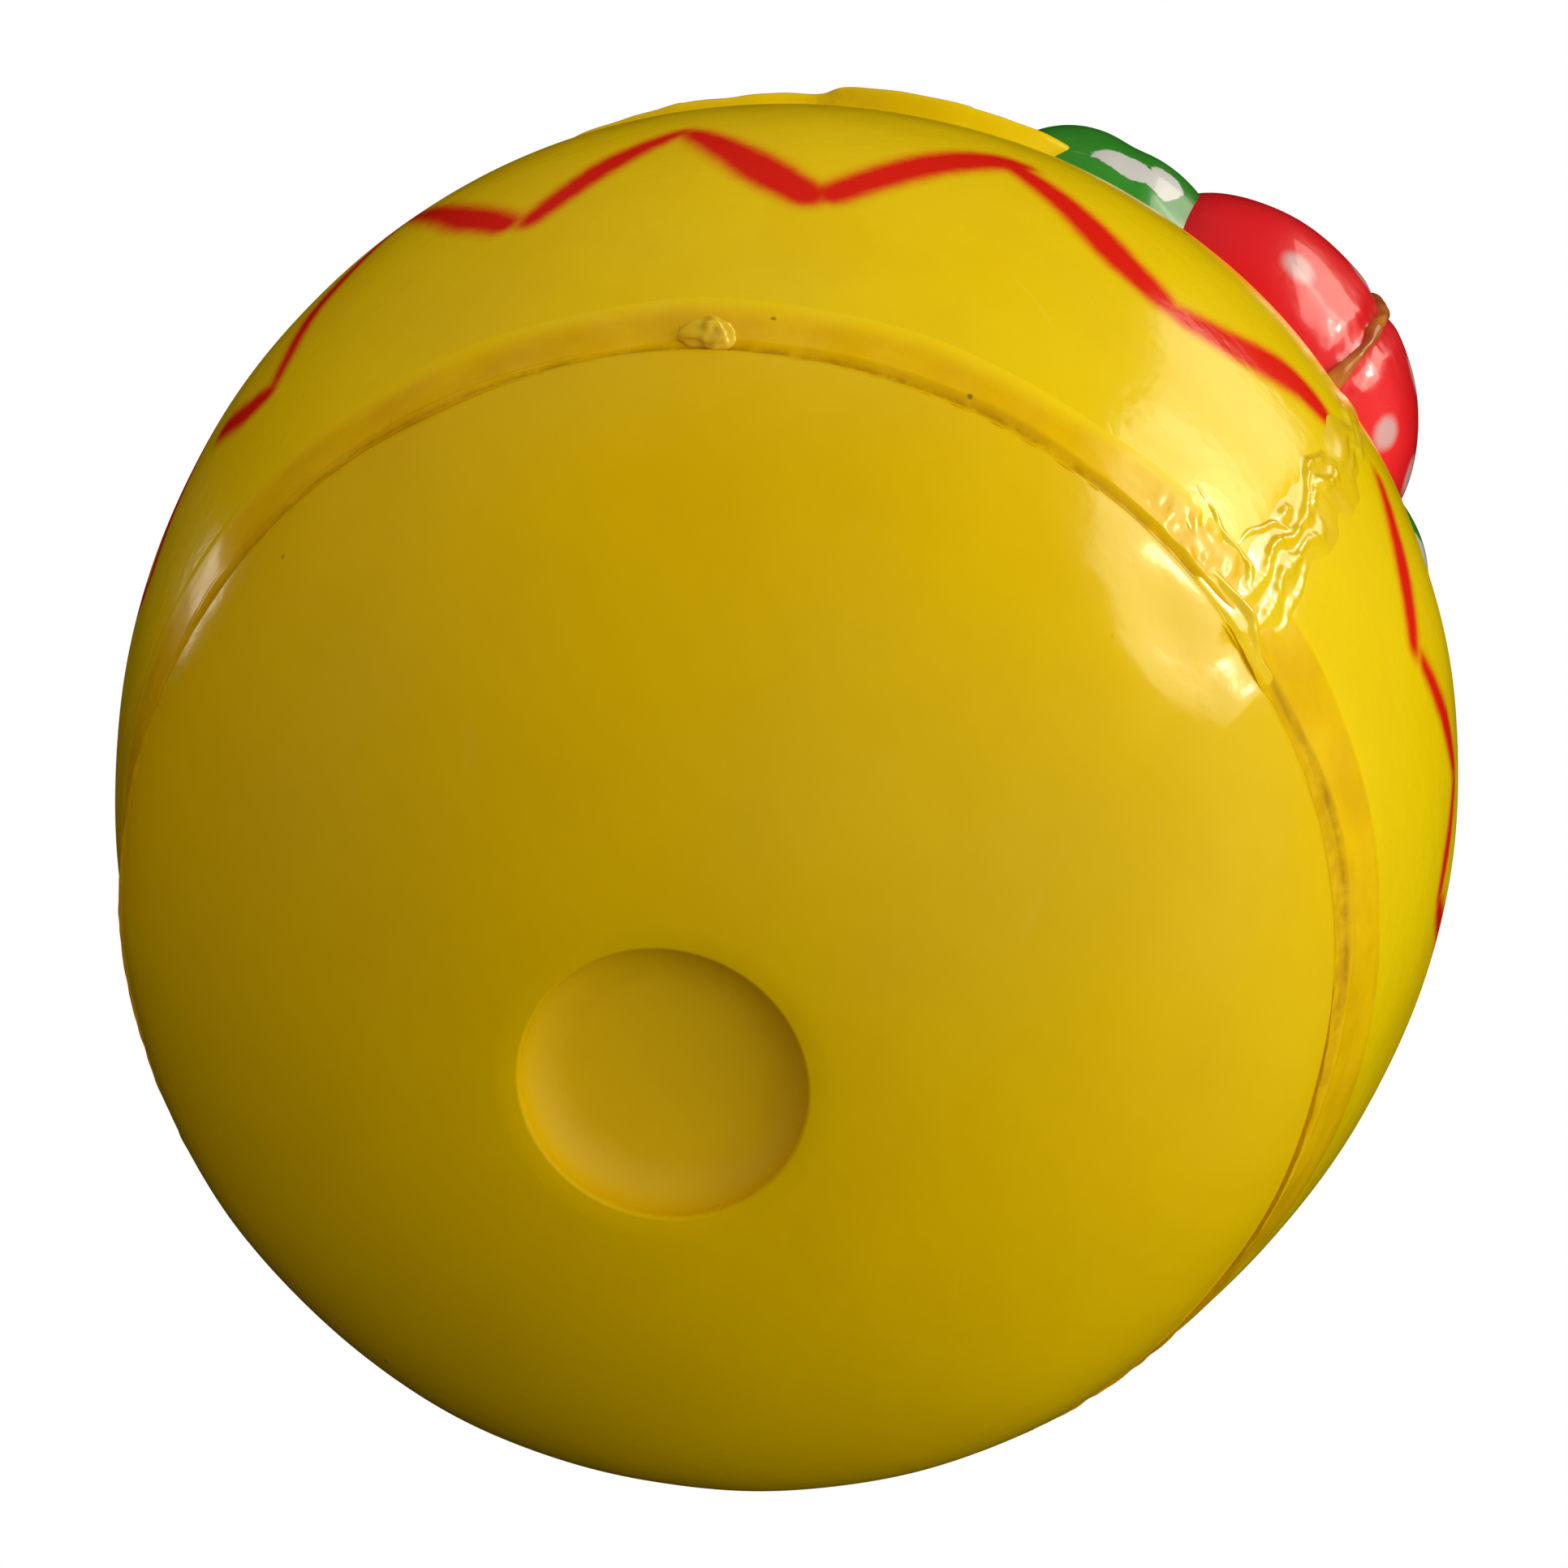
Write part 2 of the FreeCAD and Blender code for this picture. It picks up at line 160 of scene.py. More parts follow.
def turned(points, angle):
    """Points turned about the axis by an angle in degrees."""
    angle = math.radians(angle)
    cosine, sine = math.cos(angle), math.sin(angle)
    return points @ np.array([[cosine, sine, 0], [-sine, cosine, 0], [0, 0, 1]])


def along_line(points, count):
    """Both columns of a line's points, each as evenly spread samples."""
    points = np.array(points)
    wanted = np.linspace(0, len(points) - 1, count)
    return [np.interp(wanted, np.arange(len(points)), column) for column in points.T]


def ripple(points, length, seed):
    """Smooth random field of about unit size: a sum of plane sine waves of about one length."""
    random = np.random.default_rng(seed)
    directions = random.normal(size=(RIPPLE_WAVES, 3))
    directions /= np.linalg.norm(directions, axis=1, keepdims=True)
    rates = 2 * np.pi / (length * random.uniform(0.65, 1.6, RIPPLE_WAVES))
    phases = random.uniform(0, 2 * np.pi, RIPPLE_WAVES)
    waves = np.sin(points @ (directions * rates[:, None]).T + phases)
    return waves.sum(-1) * math.sqrt(2 / RIPPLE_WAVES)


def hump(distance, width):
    """Bell shape, 1 in the middle."""
    return np.exp(-(distance / width) ** 2)


def smooth_step(value, low, high):
    """0 below low, 1 above high, and an S between."""
    share = np.clip((value - low) / (high - low), 0, 1)
    return share * share * (3 - 2 * share)


def body_waves(points, turns, heights):
    """Small unevenness of the upper shells: slow waves and a slight pull-in beside the two glued seams."""
    from_front = np.abs((turns + 180) % 360 - 180)
    seam = hump(from_front * 0.9, 4.5) + hump((180 - from_front) * 0.9, 3.0)
    waves = 0.09 * ripple(points, 52, 31) + 0.025 * ripple(points, 18, 32) - 0.10 * seam - 0.16
    return waves * smooth_step(heights, 24, 34) * (1 - smooth_step(heights, 100, NECK_HEIGHT))


def grid_faces(rows, cols, wrap):
    """Four-cornered faces of a grid whose rows run up and whose columns run round."""
    count = cols if wrap else cols - 1
    row, col = np.meshgrid(np.arange(rows - 1), np.arange(count), indexing="ij")
    beside = (col + 1) % cols
    return np.stack([row * cols + col, row * cols + beside, (row + 1) * cols + beside,
                     (row + 1) * cols + col], -1).reshape(-1, 4)


def wall(outer, inner, wrap=False):
    """Closed solid between two grids of points, with strips of faces round its open edges."""
    rows, cols = outer.shape[:2]
    base = rows * cols
    outside = grid_faces(rows, cols, wrap)
    faces = [outside, outside[:, ::-1] + base]
    col = np.arange(cols if wrap else cols - 1)
    beside = (col + 1) % cols
    faces.append(np.stack([col + base, beside + base, beside, col], -1))
    last = (rows - 1) * cols
    faces.append(np.stack([last + col, last + beside, last + beside + base, last + col + base], -1))
    if not wrap:
        row = np.arange(rows - 1) * cols
        above = row + cols
        faces.append(np.stack([row + base, row, above, above + base], -1))
        end = cols - 1
        faces.append(np.stack([row + end, row + end + base, above + end + base, above + end], -1))
    return np.concatenate([outer.reshape(-1, 3), inner.reshape(-1, 3)]), np.concatenate(faces)


def lathe(grid, first_pole, last_pole):
    """Closed solid from rings of points, shut by a single point before the first ring and after the last."""
    rows, cols = grid.shape[:2]
    quads = grid_faces(rows, cols, True)
    col = np.arange(cols)
    beside = (col + 1) % cols
    first, last = rows * cols, rows * cols + 1
    top = (rows - 1) * cols
    caps = [[first, int(b), int(a)] for a, b in zip(col, beside)]
    caps += [[int(top + a), int(top + b), last] for a, b in zip(col, beside)]
    vertices = np.concatenate([grid.reshape(-1, 3), [first_pole, last_pole]])
    return vertices, quads.tolist() + caps


def new_object(name, data):
    """Object at the origin, linked to the scene."""
    made = bpy.data.objects.new(name, data)
    bpy.context.scene.collection.objects.link(made)
    return made


def add_piece(name, shape, material, nodes, marks=None, sharp=38):
    """Makes the mesh, closes its poles, and hands it to the ball's body in place of CAD nodes. Marks are
    values for the first of its points, the outer ones, and are 0 on the rest."""
    vertices, faces = shape
    mesh = bpy.data.meshes.new(name)
    mesh.from_pydata((vertices * MM).tolist(), [], faces if isinstance(faces, list) else faces.tolist())
    for label, values in {"grime_and_shade": (), **(marks or {})}.items():
        values = np.append(values, np.zeros(len(vertices) - np.size(values)))
        mesh.attributes.new(label, "FLOAT", "POINT").data.foreach_set("value", values.astype(np.float32))
    joined = bmesh.new()
    joined.from_mesh(mesh)
    bmesh.ops.remove_doubles(joined, verts=joined.verts, dist=MERGE_DISTANCE)
    joined.to_mesh(mesh)
    joined.free()
    mesh.shade_smooth()
    mesh.set_sharp_from_angle(angle=math.radians(sharp))
    mesh.materials.append(material)
    piece = new_object(name, mesh)
    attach(piece, "ball")
    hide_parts(*nodes)
    return piece


# ---------------------------------------------------------------- materials

FLOAT, VECTOR = "NodeSocketFloat", "NodeSocketVector"


def new_group(name, inputs, outputs):
    """Empty shader node group with named inputs and outputs."""
    group = bpy.data.node_groups.new(name, "ShaderNodeTree")
    for label, kind, value in inputs:
        socket = group.interface.new_socket(label, in_out="INPUT", socket_type=kind)
        socket.default_value = value
    for label, kind in outputs:
        group.interface.new_socket(label, in_out="OUTPUT", socket_type=kind)
    return group, group.nodes.new("NodeGroupInput"), group.nodes.new("NodeGroupOutput")


def feed(tree, socket, value):
    """Links a socket, or sets a plain value on it."""
    if isinstance(value, bpy.types.NodeSocket):
        tree.links.new(value, socket)
    else:
        socket.default_value = value


def worked_out(tree, kind, operation, values):
    """Node that works on values."""
    made = tree.nodes.new(kind)
    made.operation = operation
    for socket, value in zip(made.inputs, values):
        feed(tree, socket, value)
    return made


def calculate(tree, operation, *values):
    """Math node; gives its output."""
    return worked_out(tree, "ShaderNodeMath", operation, values).outputs[0]


def vector_math(tree, operation, *values):
    """Vector math node; gives its outputs, of which a length or a product is the one named Value."""
    return worked_out(tree, "ShaderNodeVectorMath", operation, values).outputs


def times(tree, first, second):
    """Product of two values."""
    return calculate(tree, "MULTIPLY", first, second)


def plus(tree, first, second):
    """Sum of two values."""
    return calculate(tree, "ADD", first, second)


def between(tree, value, low, high, start=0.0, end=1.0, kind="SMOOTHSTEP"):
    """Map Range node from low..high to start..end; gives its output."""
    made = tree.nodes.new("ShaderNodeMapRange")
    made.interpolation_type = kind
    labels = ("Value", "From Min", "From Max", "To Min", "To Max")
    for label, number in zip(labels, (value, low, high, start, end)):
        feed(tree, made.inputs[label], number)
    return made.outputs["Result"]


def blend_colour(tree, share, first, second):
    """Mix node for colours; gives its output."""
    made = tree.nodes.new("ShaderNodeMix")
    made.data_type = "RGBA"
    for socket, value in ((0, share), (6, first), (7, second)):
        feed(tree, made.inputs[socket], value)
    return made.outputs[2]


def object_place(tree):
    """Object coordinates."""
    return tree.nodes.new("ShaderNodeTexCoord").outputs["Object"]


def noise(tree, scale, detail=3.0, roughness=0.5):
    """Noise texture on object coordinates; gives its value."""
    made = tree.nodes.new("ShaderNodeTexNoise")
    feed(tree, made.inputs["Vector"], object_place(tree))
    feed(tree, made.inputs["Scale"], scale)
    made.inputs["Detail"].default_value = detail
    made.inputs["Roughness"].default_value = roughness
    return made.outputs["Fac"]


def make_mottle():
    """Slow cloudy change over a surface, from 0 to 1."""
    group, given, result = new_group("mottle", [("Scale", FLOAT, 60.0)], [("Value", FLOAT)])
    cloud = noise(group, given.outputs["Scale"], 4.0, 0.55)
    group.links.new(between(group, cloud, 0.32, 0.68), result.inputs["Value"])
    return group


def make_flecks():
    """Rare small dots: cells of a Voronoi pattern, some of them chosen by their random colour."""
    group, given, result = new_group(
        "flecks", [("Scale", FLOAT, 200.0), ("Size", FLOAT, 0.1), ("Share", FLOAT, 0.2)], [("Mask", FLOAT)])
    cells = group.nodes.new("ShaderNodeTexVoronoi")
    feed(group, cells.inputs["Vector"], object_place(group))
    feed(group, cells.inputs["Scale"], given.outputs["Scale"])
    edge = times(group, given.outputs["Size"], 0.5)
    dot = between(group, cells.outputs["Distance"], given.outputs["Size"], edge)
    split = group.nodes.new("ShaderNodeSeparateColor")
    group.links.new(cells.outputs["Color"], split.inputs[0])
    chosen = calculate(group, "LESS_THAN", split.outputs[0], given.outputs["Share"])
    group.links.new(times(group, dot, chosen), result.inputs["Mask"])
    return group


def make_scratches():
    """Fine hairline scratches: narrow bands of a warped wave, broken up by noise."""
    group, given, result = new_group(
        "scratches", [("Scale", FLOAT, 60.0), ("Direction", VECTOR, (0.0, 0.0, 0.0)), ("Amount", FLOAT, 0.3)],
        [("Mask", FLOAT)])
    turned = group.nodes.new("ShaderNodeVectorRotate")
    turned.rotation_type = "EULER_XYZ"
    feed(group, turned.inputs["Vector"], object_place(group))
    feed(group, turned.inputs["Rotation"], given.outputs["Direction"])
    waves = group.nodes.new("ShaderNodeTexWave")
    feed(group, waves.inputs["Vector"], turned.outputs[0])
    feed(group, waves.inputs["Scale"], given.outputs["Scale"])
    for label, value in (("Distortion", 9.0), ("Detail", 2.0), ("Detail Scale", 0.7)):
        waves.inputs[label].default_value = value
    line = between(group, waves.outputs["Fac"], 0.985, 1.0)
    broken = noise(group, times(group, given.outputs["Scale"], 2.3), 2.0)
    limit = calculate(group, "SUBTRACT", 0.78, times(group, given.outputs["Amount"], 0.4))
    shown = between(group, broken, limit, plus(group, limit, 0.06))
    group.links.new(times(group, line, shown), result.inputs["Mask"])
    return group


def make_spot():
    """Soft-edged spot: inside an egg about a centre, with a slightly ragged edge."""
    group, given, result = new_group(
        "spot", [("Centre", VECTOR, (0.0, 0.0, 0.0)), ("Half sizes", VECTOR, (1.0, 1.0, 1.0)),
                 ("Edge", FLOAT, 0.3), ("Ragged", FLOAT, 0.1), ("Ragged scale", FLOAT, 400.0)],
        [("Mask", FLOAT)])
    apart = vector_math(group, "SUBTRACT", object_place(group), given.outputs["Centre"])[0]
    sized = vector_math(group, "DIVIDE", apart, given.outputs["Half sizes"])[0]
    length = vector_math(group, "LENGTH", sized)["Value"]
    shake = calculate(group, "SUBTRACT", noise(group, given.outputs["Ragged scale"], 3.0, 0.6), 0.5)
    shake = times(group, shake, given.outputs["Ragged"])
    reach = plus(group, length, shake)
    outer = plus(group, 1.0, given.outputs["Edge"])
    inner = calculate(group, "SUBTRACT", 1.0, given.outputs["Edge"])
    group.links.new(between(group, reach, outer, inner), result.inputs["Mask"])
    return group


GROUPS = {"mottle": make_mottle(), "flecks": make_flecks(), "scratches": make_scratches(),
          "spot": make_spot()}


def use(tree, name, **values):
    """Places a group in a material with its own values; gives its output."""
    made = tree.nodes.new("ShaderNodeGroup")
    made.node_tree = GROUPS[name]
    for label, value in values.items():
        feed(tree, made.inputs[label.replace("_", " ")], value)
    return made.outputs[0]


def new_material(name, **settings):
    """Material with its Principled shader; plain values are set on the shader's own sockets."""
    material = bpy.data.materials.new(name)
    material.use_nodes = True
    tree = material.node_tree
    shader = tree.nodes["Principled BSDF"]
    for label, value in settings.items():
        shader.inputs[label.replace("_", " ")].default_value = value
    return material, tree, shader


def mark(tree, name):
    """A mesh attribute's value."""
    made = tree.nodes.new("ShaderNodeAttribute")
    made.attribute_name = name
    return made.outputs["Fac"]


def bumped(tree, shader, height, depth):
    """Feeds a height to the shader's normal; depth is in metres."""
    made = tree.nodes.new("ShaderNodeBump")
    made.inputs["Distance"].default_value = depth
    feed(tree, made.inputs["Height"], height)
    feed(tree, shader.inputs["Normal"], made.outputs["Normal"])


# Colours of the finishes.
YELLOW = (0.90, 0.57, 0.0, 1)
BRIGHT_YELLOW = (1.0, 0.68, 0.0, 1)
OCHRE = (0.70, 0.38, 0.0, 1)
# Dark brown for dirt along the seam, also used as painted shade in the recess corner and in the ruffle's
# pleats.
GRIME_AND_SHADE = (0.42, 0.20, 0.002, 1)
AMBER = (0.93, 0.555, 0.0, 1)
DEEP_AMBER = (0.83, 0.46, 0.0, 1)
PAINT_RED = (0.86, 0.014, 0.004, 1)
PAINT_HALO = (0.90, 0.22, 0.002, 1)
SPECK = (0.12, 0.08, 0.02, 1)
WARM_SHINE = (1.0, 0.94, 0.62, 1)
WHITE_SHINE = (1.0, 1.0, 0.92, 1)
LEAF_GREEN = ((0.045, 0.33, 0.022, 1), (0.030, 0.25, 0.018, 1))
CAP_RED = ((1.0, 0.014, 0.016, 1), (0.90, 0.010, 0.013, 1))
SPOT_ROSE = (0.82, 0.42, 0.38, 1)
PATCH_CREAM = (0.72, 0.70, 0.60, 1)
DULL_YELLOW = (0.95, 0.75, 0.12, 1)
PALE_SCUFF = (0.9, 0.55, 0.5, 1)
# Grains: turn, height and half size.
DUST = [(-50.5, 30.6, 0.24), (-20.3, 73.1, 0.30), (-31.9, 27.9, 0.22), (-9.4, 17.0, 0.22),
        (118.0, 44.0, 0.25), (-134.0, 71.0, 0.25), (163.0, 15.0, 0.25)]


def yellow_plastic(name, plain, painted):
    """Moulded yellow plastic, cloudy and slightly scuffed, with dirt by the seam, painted shade in the recess
    corner and in the ruffle's pleats and, where it is painted, airbrushed red in a soft halo. It shines less
    where the mark "matt" is."""
    material, tree, shader = new_material(name, IOR=1.46, Specular_Tint=WARM_SHINE)
    darker = tuple(0.96 * value for value in plain[:3]) + (1,)
    colour = blend_colour(tree, use(tree, "mottle", Scale=26.0), plain, darker)
    colour = blend_colour(tree, times(tree, use(tree, "mottle", Scale=90.0), 0.12), colour, OCHRE)
    flecks = times(tree, use(tree, "flecks", Scale=110.0, Size=0.035, Share=0.10), 0.6)
    colour = blend_colour(tree, flecks, colour, SPECK)
    scratches = use(tree, "scratches", Scale=42.0, Direction=(0.7, 0.4, 0.9), Amount=0.32)
    colour = blend_colour(tree, times(tree, scratches, 0.03), colour, DULL_YELLOW)
    if painted:
        depth = mark(tree, "paint")
        shaken = times(tree, calculate(tree, "SUBTRACT", noise(tree, 700.0, 3.0), 0.5), 0.5)
        depth = plus(tree, depth, shaken)
        halo = between(tree, depth, -1.7, 0.2)
        colour = blend_colour(tree, times(tree, halo, 0.85), colour, PAINT_HALO)
        colour = blend_colour(tree, between(tree, depth, -0.75, 0.65), colour, PAINT_RED)
    # The dark mark: dirt along the seam, and painted shade in the recess corner and in the ruffle's pleats.
    grime_and_shade = mark(tree, "grime_and_shade")
    spotty = between(tree, noise(tree, 420.0, 4.0, 0.65), 0.30, 0.62)
    colour = blend_colour(tree, times(tree, grime_and_shade, spotty), colour, GRIME_AND_SHADE)
    feed(tree, shader.inputs["Base Color"], dusted(tree, colour))
    rough = between(tree, use(tree, "mottle", Scale=55.0), 0.0, 1.0, 0.13, 0.19, "LINEAR")
    rough = plus(tree, rough, times(tree, scratches, 0.06))
    rough = plus(tree, rough, times(tree, mark(tree, "matt"), 0.35))
    feed(tree, shader.inputs["Roughness"], rough)
    height = times(tree, noise(tree, 900.0, 2.0), 0.35)
    height = plus(tree, height, times(tree, noise(tree, 85.0, 3.0, 0.55), 2.4))
    height = calculate(tree, "SUBTRACT", height, times(tree, scratches, 0.15))
    bumped(tree, shader, height, 0.00006)
    return material


def dusted(tree, colour):
    """Adds the few dark grains that stick to the ball."""
    for turn, height, size in DUST:
        centre = place(body_radius(height) if height > SEAM_HEIGHT else bowl_radius(height), turn, height)
        grain = use(tree, "spot", Centre=tuple(centre * MM), Half_sizes=(size * MM,) * 3, Edge=0.4,
                    Ragged=0.5, Ragged_scale=2500.0)
        colour = blend_colour(tree, times(tree, grain, 0.75), colour, SPECK)
    return colour


def amber_cement(name, light, dark, blended=False, shine=0.5, tint=WARM_SHINE):
    """Dried glossy cement: cloudy amber with tiny bubbles and slow waves, darker where grime sits."""
    material, tree, shader = new_material(name, IOR=1.46, Specular_Tint=tint, Specular_IOR_Level=shine,
                                          Coat_Weight=0.2 * shine, Coat_Roughness=0.05)
    colour = blend_colour(tree, use(tree, "mottle", Scale=150.0), light, dark)
    if blended:
        colour = blend_colour(tree, mark(tree, "blend"), colour, BRIGHT_YELLOW)
    spotty = between(tree, noise(tree, 380.0, 4.0, 0.7), 0.28, 0.66)
    colour = blend_colour(tree, times(tree, mark(tree, "grime_and_shade"), spotty), colour, GRIME_AND_SHADE)
    bubbles = use(tree, "flecks", Scale=520.0, Size=0.12, Share=0.08)
    feed(tree, shader.inputs["Base Color"], dusted(tree, colour))
    feed(tree, shader.inputs["Roughness"], between(tree, noise(tree, 260.0), 0.3, 0.7, 0.11, 0.24, "LINEAR"))
    height = plus(tree, noise(tree, 170.0, 3.0), times(tree, noise(tree, 620.0, 2.0), 0.3))
    height = plus(tree, height, times(tree, bubbles, 0.04))
    bumped(tree, shader, height, 0.00002)
    return material


def glossy_trim(name, colours, spots, spot_colour, edge, ragged, ragged_scale):
    """Glossy coloured plastic with spots: each spot is a centre and three half sizes in millimetres."""
    material, tree, shader = new_material(name, IOR=1.5, Coat_Weight=0.5, Coat_Roughness=0.06)
    colour = blend_colour(tree, use(tree, "mottle", Scale=70.0), *colours)
    mask = None
    for centre, half_sizes in spots:
        centre, half_sizes = (tuple(value * MM for value in values) for values in (centre, half_sizes))
        one = use(tree, "spot", Centre=centre, Half_sizes=half_sizes, Edge=edge, Ragged=ragged,
                  Ragged_scale=ragged_scale)
        mask = one if mask is None else calculate(tree, "MAXIMUM", mask, one)
    colour = blend_colour(tree, mask, colour, spot_colour)
    scuffs = use(tree, "scratches", Scale=70.0, Direction=(0.2, 1.1, 0.3), Amount=0.4)
    colour = blend_colour(tree, times(tree, scuffs, 0.2), colour, PALE_SCUFF)
    colour = blend_colour(tree, times(tree, mark(tree, "grime_and_shade"), 0.6), colour, GRIME_AND_SHADE)
    feed(tree, shader.inputs["Base Color"], colour)
    feed(tree, shader.inputs["Roughness"], between(tree, noise(tree, 120.0), 0.3, 0.7, 0.20, 0.30, "LINEAR"))
    height = plus(tree, noise(tree, 240.0, 3.0), times(tree, mask, 0.3))
    bumped(tree, shader, height, 0.00012)
    return material


def plain_metal(name, colour, other, roughness, grain, metallic=1.0):
    """Metal or dull plastic for the parts inside: cloudy colour, uneven gloss and a fine grain."""
    material, tree, shader = new_material(name, Metallic=metallic)
    cloudy = blend_colour(tree, use(tree, "mottle", Scale=160.0), colour, other)
    feed(tree, shader.inputs["Base Color"], cloudy)
    feed(tree, shader.inputs["Roughness"],
         between(tree, noise(tree, 300.0), 0.3, 0.7, roughness, roughness + 0.15, "LINEAR"))
    bumped(tree, shader, noise(tree, grain, 4.0, 0.6), 0.0001)
    return material


# ---------------------------------------------------------------- the low seam

# Height of the bowl's edge by turn: it is glued slightly uneven and drops where the front seam ends.
EDGE_TURNS = [-180, -145, -125, -111, -94, -82, -68, -52, -38, -14, 0.5, 4.5, 9, 23, 40, 52, 63, 90, 130, 180]
EDGE_HEIGHTS = [26.0, 24.6, 25.4, 26.6, 25.2, 24.8, 26.0, 27.0, 27.2, 27.1, 27.2, 25.0, 25.1, 25.9, 25.0,
                24.4, 25.0, 26.0, 26.4, 26.0]
# Width of the sunken, dirty channel above it, and height of the top of the amber band.
CHANNEL_TURNS = [-180, -120, -60, -12, 0, 5, 20, 60, 100, 180]
CHANNEL_WIDTHS = [0.6, 0.5, 0.4, 0.5, 0.4, 2.4, 3.3, 3.9, 2.4, 0.6]
BAND_TURNS = [-180, -110, -80, -52, -20, 0, 12, 30, 56, 100, 180]
BAND_TOPS = [33.5, 34.0, 32.3, 33.1, 32.8, 34.0, 35.0, 35.6, 38.0, 35.5, 33.5]
# Height over which the band blends into the shell.
BLEND_TURNS = [-180, -25, 5, 100, 180]
BLEND_WIDTHS = [3.0, 3.0, 0.9, 1.0, 3.0]
# Radius of the bowl near its front dent, depth and height of its rolled edge, and rise of the recess's floor.
DENT_RADIUS = 38
ROLL_DEPTH = 0.75
ROLL_HEIGHT = 0.9
FLOOR_RISE = 0.12


def bowl_edge(turn):
    """Height of the bowl's upper edge, with a small unevenness."""
    turn = np.asarray(turn, float)
    uneven = 0.10 * np.sin(np.radians(turn * 11 + 40)) + 0.06 * np.sin(np.radians(turn * 23 + 10))
    return np.interp(turn, EDGE_TURNS, EDGE_HEIGHTS) + uneven


def channel_top(turn):
    """Height where the amber band starts above the channel."""
    return bowl_edge(turn) + np.interp(turn, CHANNEL_TURNS, CHANNEL_WIDTHS)


def band_top(turn):
    """Height where the amber band fades out on the shell."""
    turn = np.asarray(turn, float)
    return np.interp(turn, BAND_TURNS, BAND_TOPS) + 0.15 * np.sin(np.radians(turn * 17))


def round_bell(turns, heights, turn, height, width):
    """Bell shape on the bowl round a turn and a height, by distance over the surface."""
    return hump(np.hypot(np.radians(turns - turn) * DENT_RADIUS, heights - height), width)


def make_bowl(material):
    """Base bowl: a half section (recess floor, fillet, wall, rim, rest ring, bulging side, rounded edge and
    the inside) turned about the axis. The side's heights are stretched so that its top meets the edge line,
    and its radius gains slow waves, one bulge and one shallow dent."""
    turns = np.linspace(-180, 180, 480, endpoint=False)[None]
    quarter = np.linspace(0, np.pi / 2, 9)
    wide, tall = RECESS_FLOOR_ROUND
    floor_edge = RECESS_RADIUS - wide
    floor = np.stack([np.linspace(0.6, floor_edge, 16), np.full(16, RECESS_DEPTH)], -1)
    floor[:, 1] += FLOOR_RISE * (1 - (floor[:, 0] / floor_edge) ** 2)
    rise, sink = np.sin(quarter), 1 - np.cos(quarter)
    fillet = np.stack([floor_edge + wide * rise, RECESS_DEPTH - tall * sink], -1)[1:]
    rim = np.stack([RECESS_RADIUS + RIM_ROUND * sink, RIM_ROUND * (1 - rise)], -1)
    ring = np.array([[REST_OUTER - 0.6, 0.0]])
    lower = np.concatenate([floor, fillet, rim, ring])
    lower = place(lower[:, :1], turns, lower[:, 1:])
    side = even_part(BOWL_CURVE, 0, SEAM_HEIGHT, 110)
    share = side[:, 1:] / SEAM_HEIGHT
    edge = bowl_edge(turns)
    heights = side[:, 1:] + (edge - SEAM_HEIGHT) * share ** 3
    points = place(side[:, :1], turns, heights)
    dent = round_bell(turns, heights, -4.5, 20.8, 4.4)
    bulge = 0.62 * round_bell(turns, heights, -4.0, 13.5, 7.5)
    swell = bulge + 0.10 * ripple(points, 46, 3) + 0.03 * ripple(points, 17, 5)
    pull = -0.45 * hump(turns - 2.5, 3.0) * smooth_step(heights, 21, 27)
    offset = (swell + pull - 0.75 * dent) * smooth_step(heights, 0.0, 6)
    rounded = np.clip(1 - (edge - heights) / ROLL_HEIGHT, 0, 1)
    offset = offset - ROLL_DEPTH * (1 - np.sqrt(np.clip(1 - rounded ** 2, 0, 1)))
    points = place(side[:, :1] + offset, turns, heights)
    inside = even_part(BOWL_CURVE, 5.4, SEAM_HEIGHT - 2, 24)
    inside = (inside - outward(inside) * BOWL_WALL)[::-1]
    back = place(inside[:, :1], turns, inside[:, 1:])
    pad = RECESS_DEPTH + BOWL_WALL
    pad_ring = place(np.array([[13.0], [5.0]]), turns, np.full((2, 1), pad))
    grid = np.concatenate([lower, points, back, pad_ring])
    near_edge = smooth_step(heights, edge - 0.9, edge - 0.15)
    near_edge = near_edge * (0.55 + 0.45 * smooth_step(turns, 2, 10))
    grime_and_shade = np.zeros(grid.shape[:2])
    grime_and_shade[len(lower):len(lower) + len(points)] = near_edge
    # Painted shade: a faint darkening round the recess's floor fillet, where the recess falls into shade.
    shade_corner = place(floor_edge + 0.9, turns, RECESS_DEPTH - 0.5)
    grime_and_shade[:len(lower)] = 0.10 * hump(np.linalg.norm(lower - shade_corner, axis=-1), 0.8)
    shape = lathe(grid, (0, 0, RECESS_DEPTH + FLOOR_RISE), (0, 0, pad))
    matt = np.zeros(grid.shape[:2])
    matt[:len(floor) + len(fillet) - 1] = 1
    marks = {"grime_and_shade": grime_and_shade, "matt": np.append(matt, 1)}
    return add_piece("bowl", shape, material, ["base_shell"], marks)


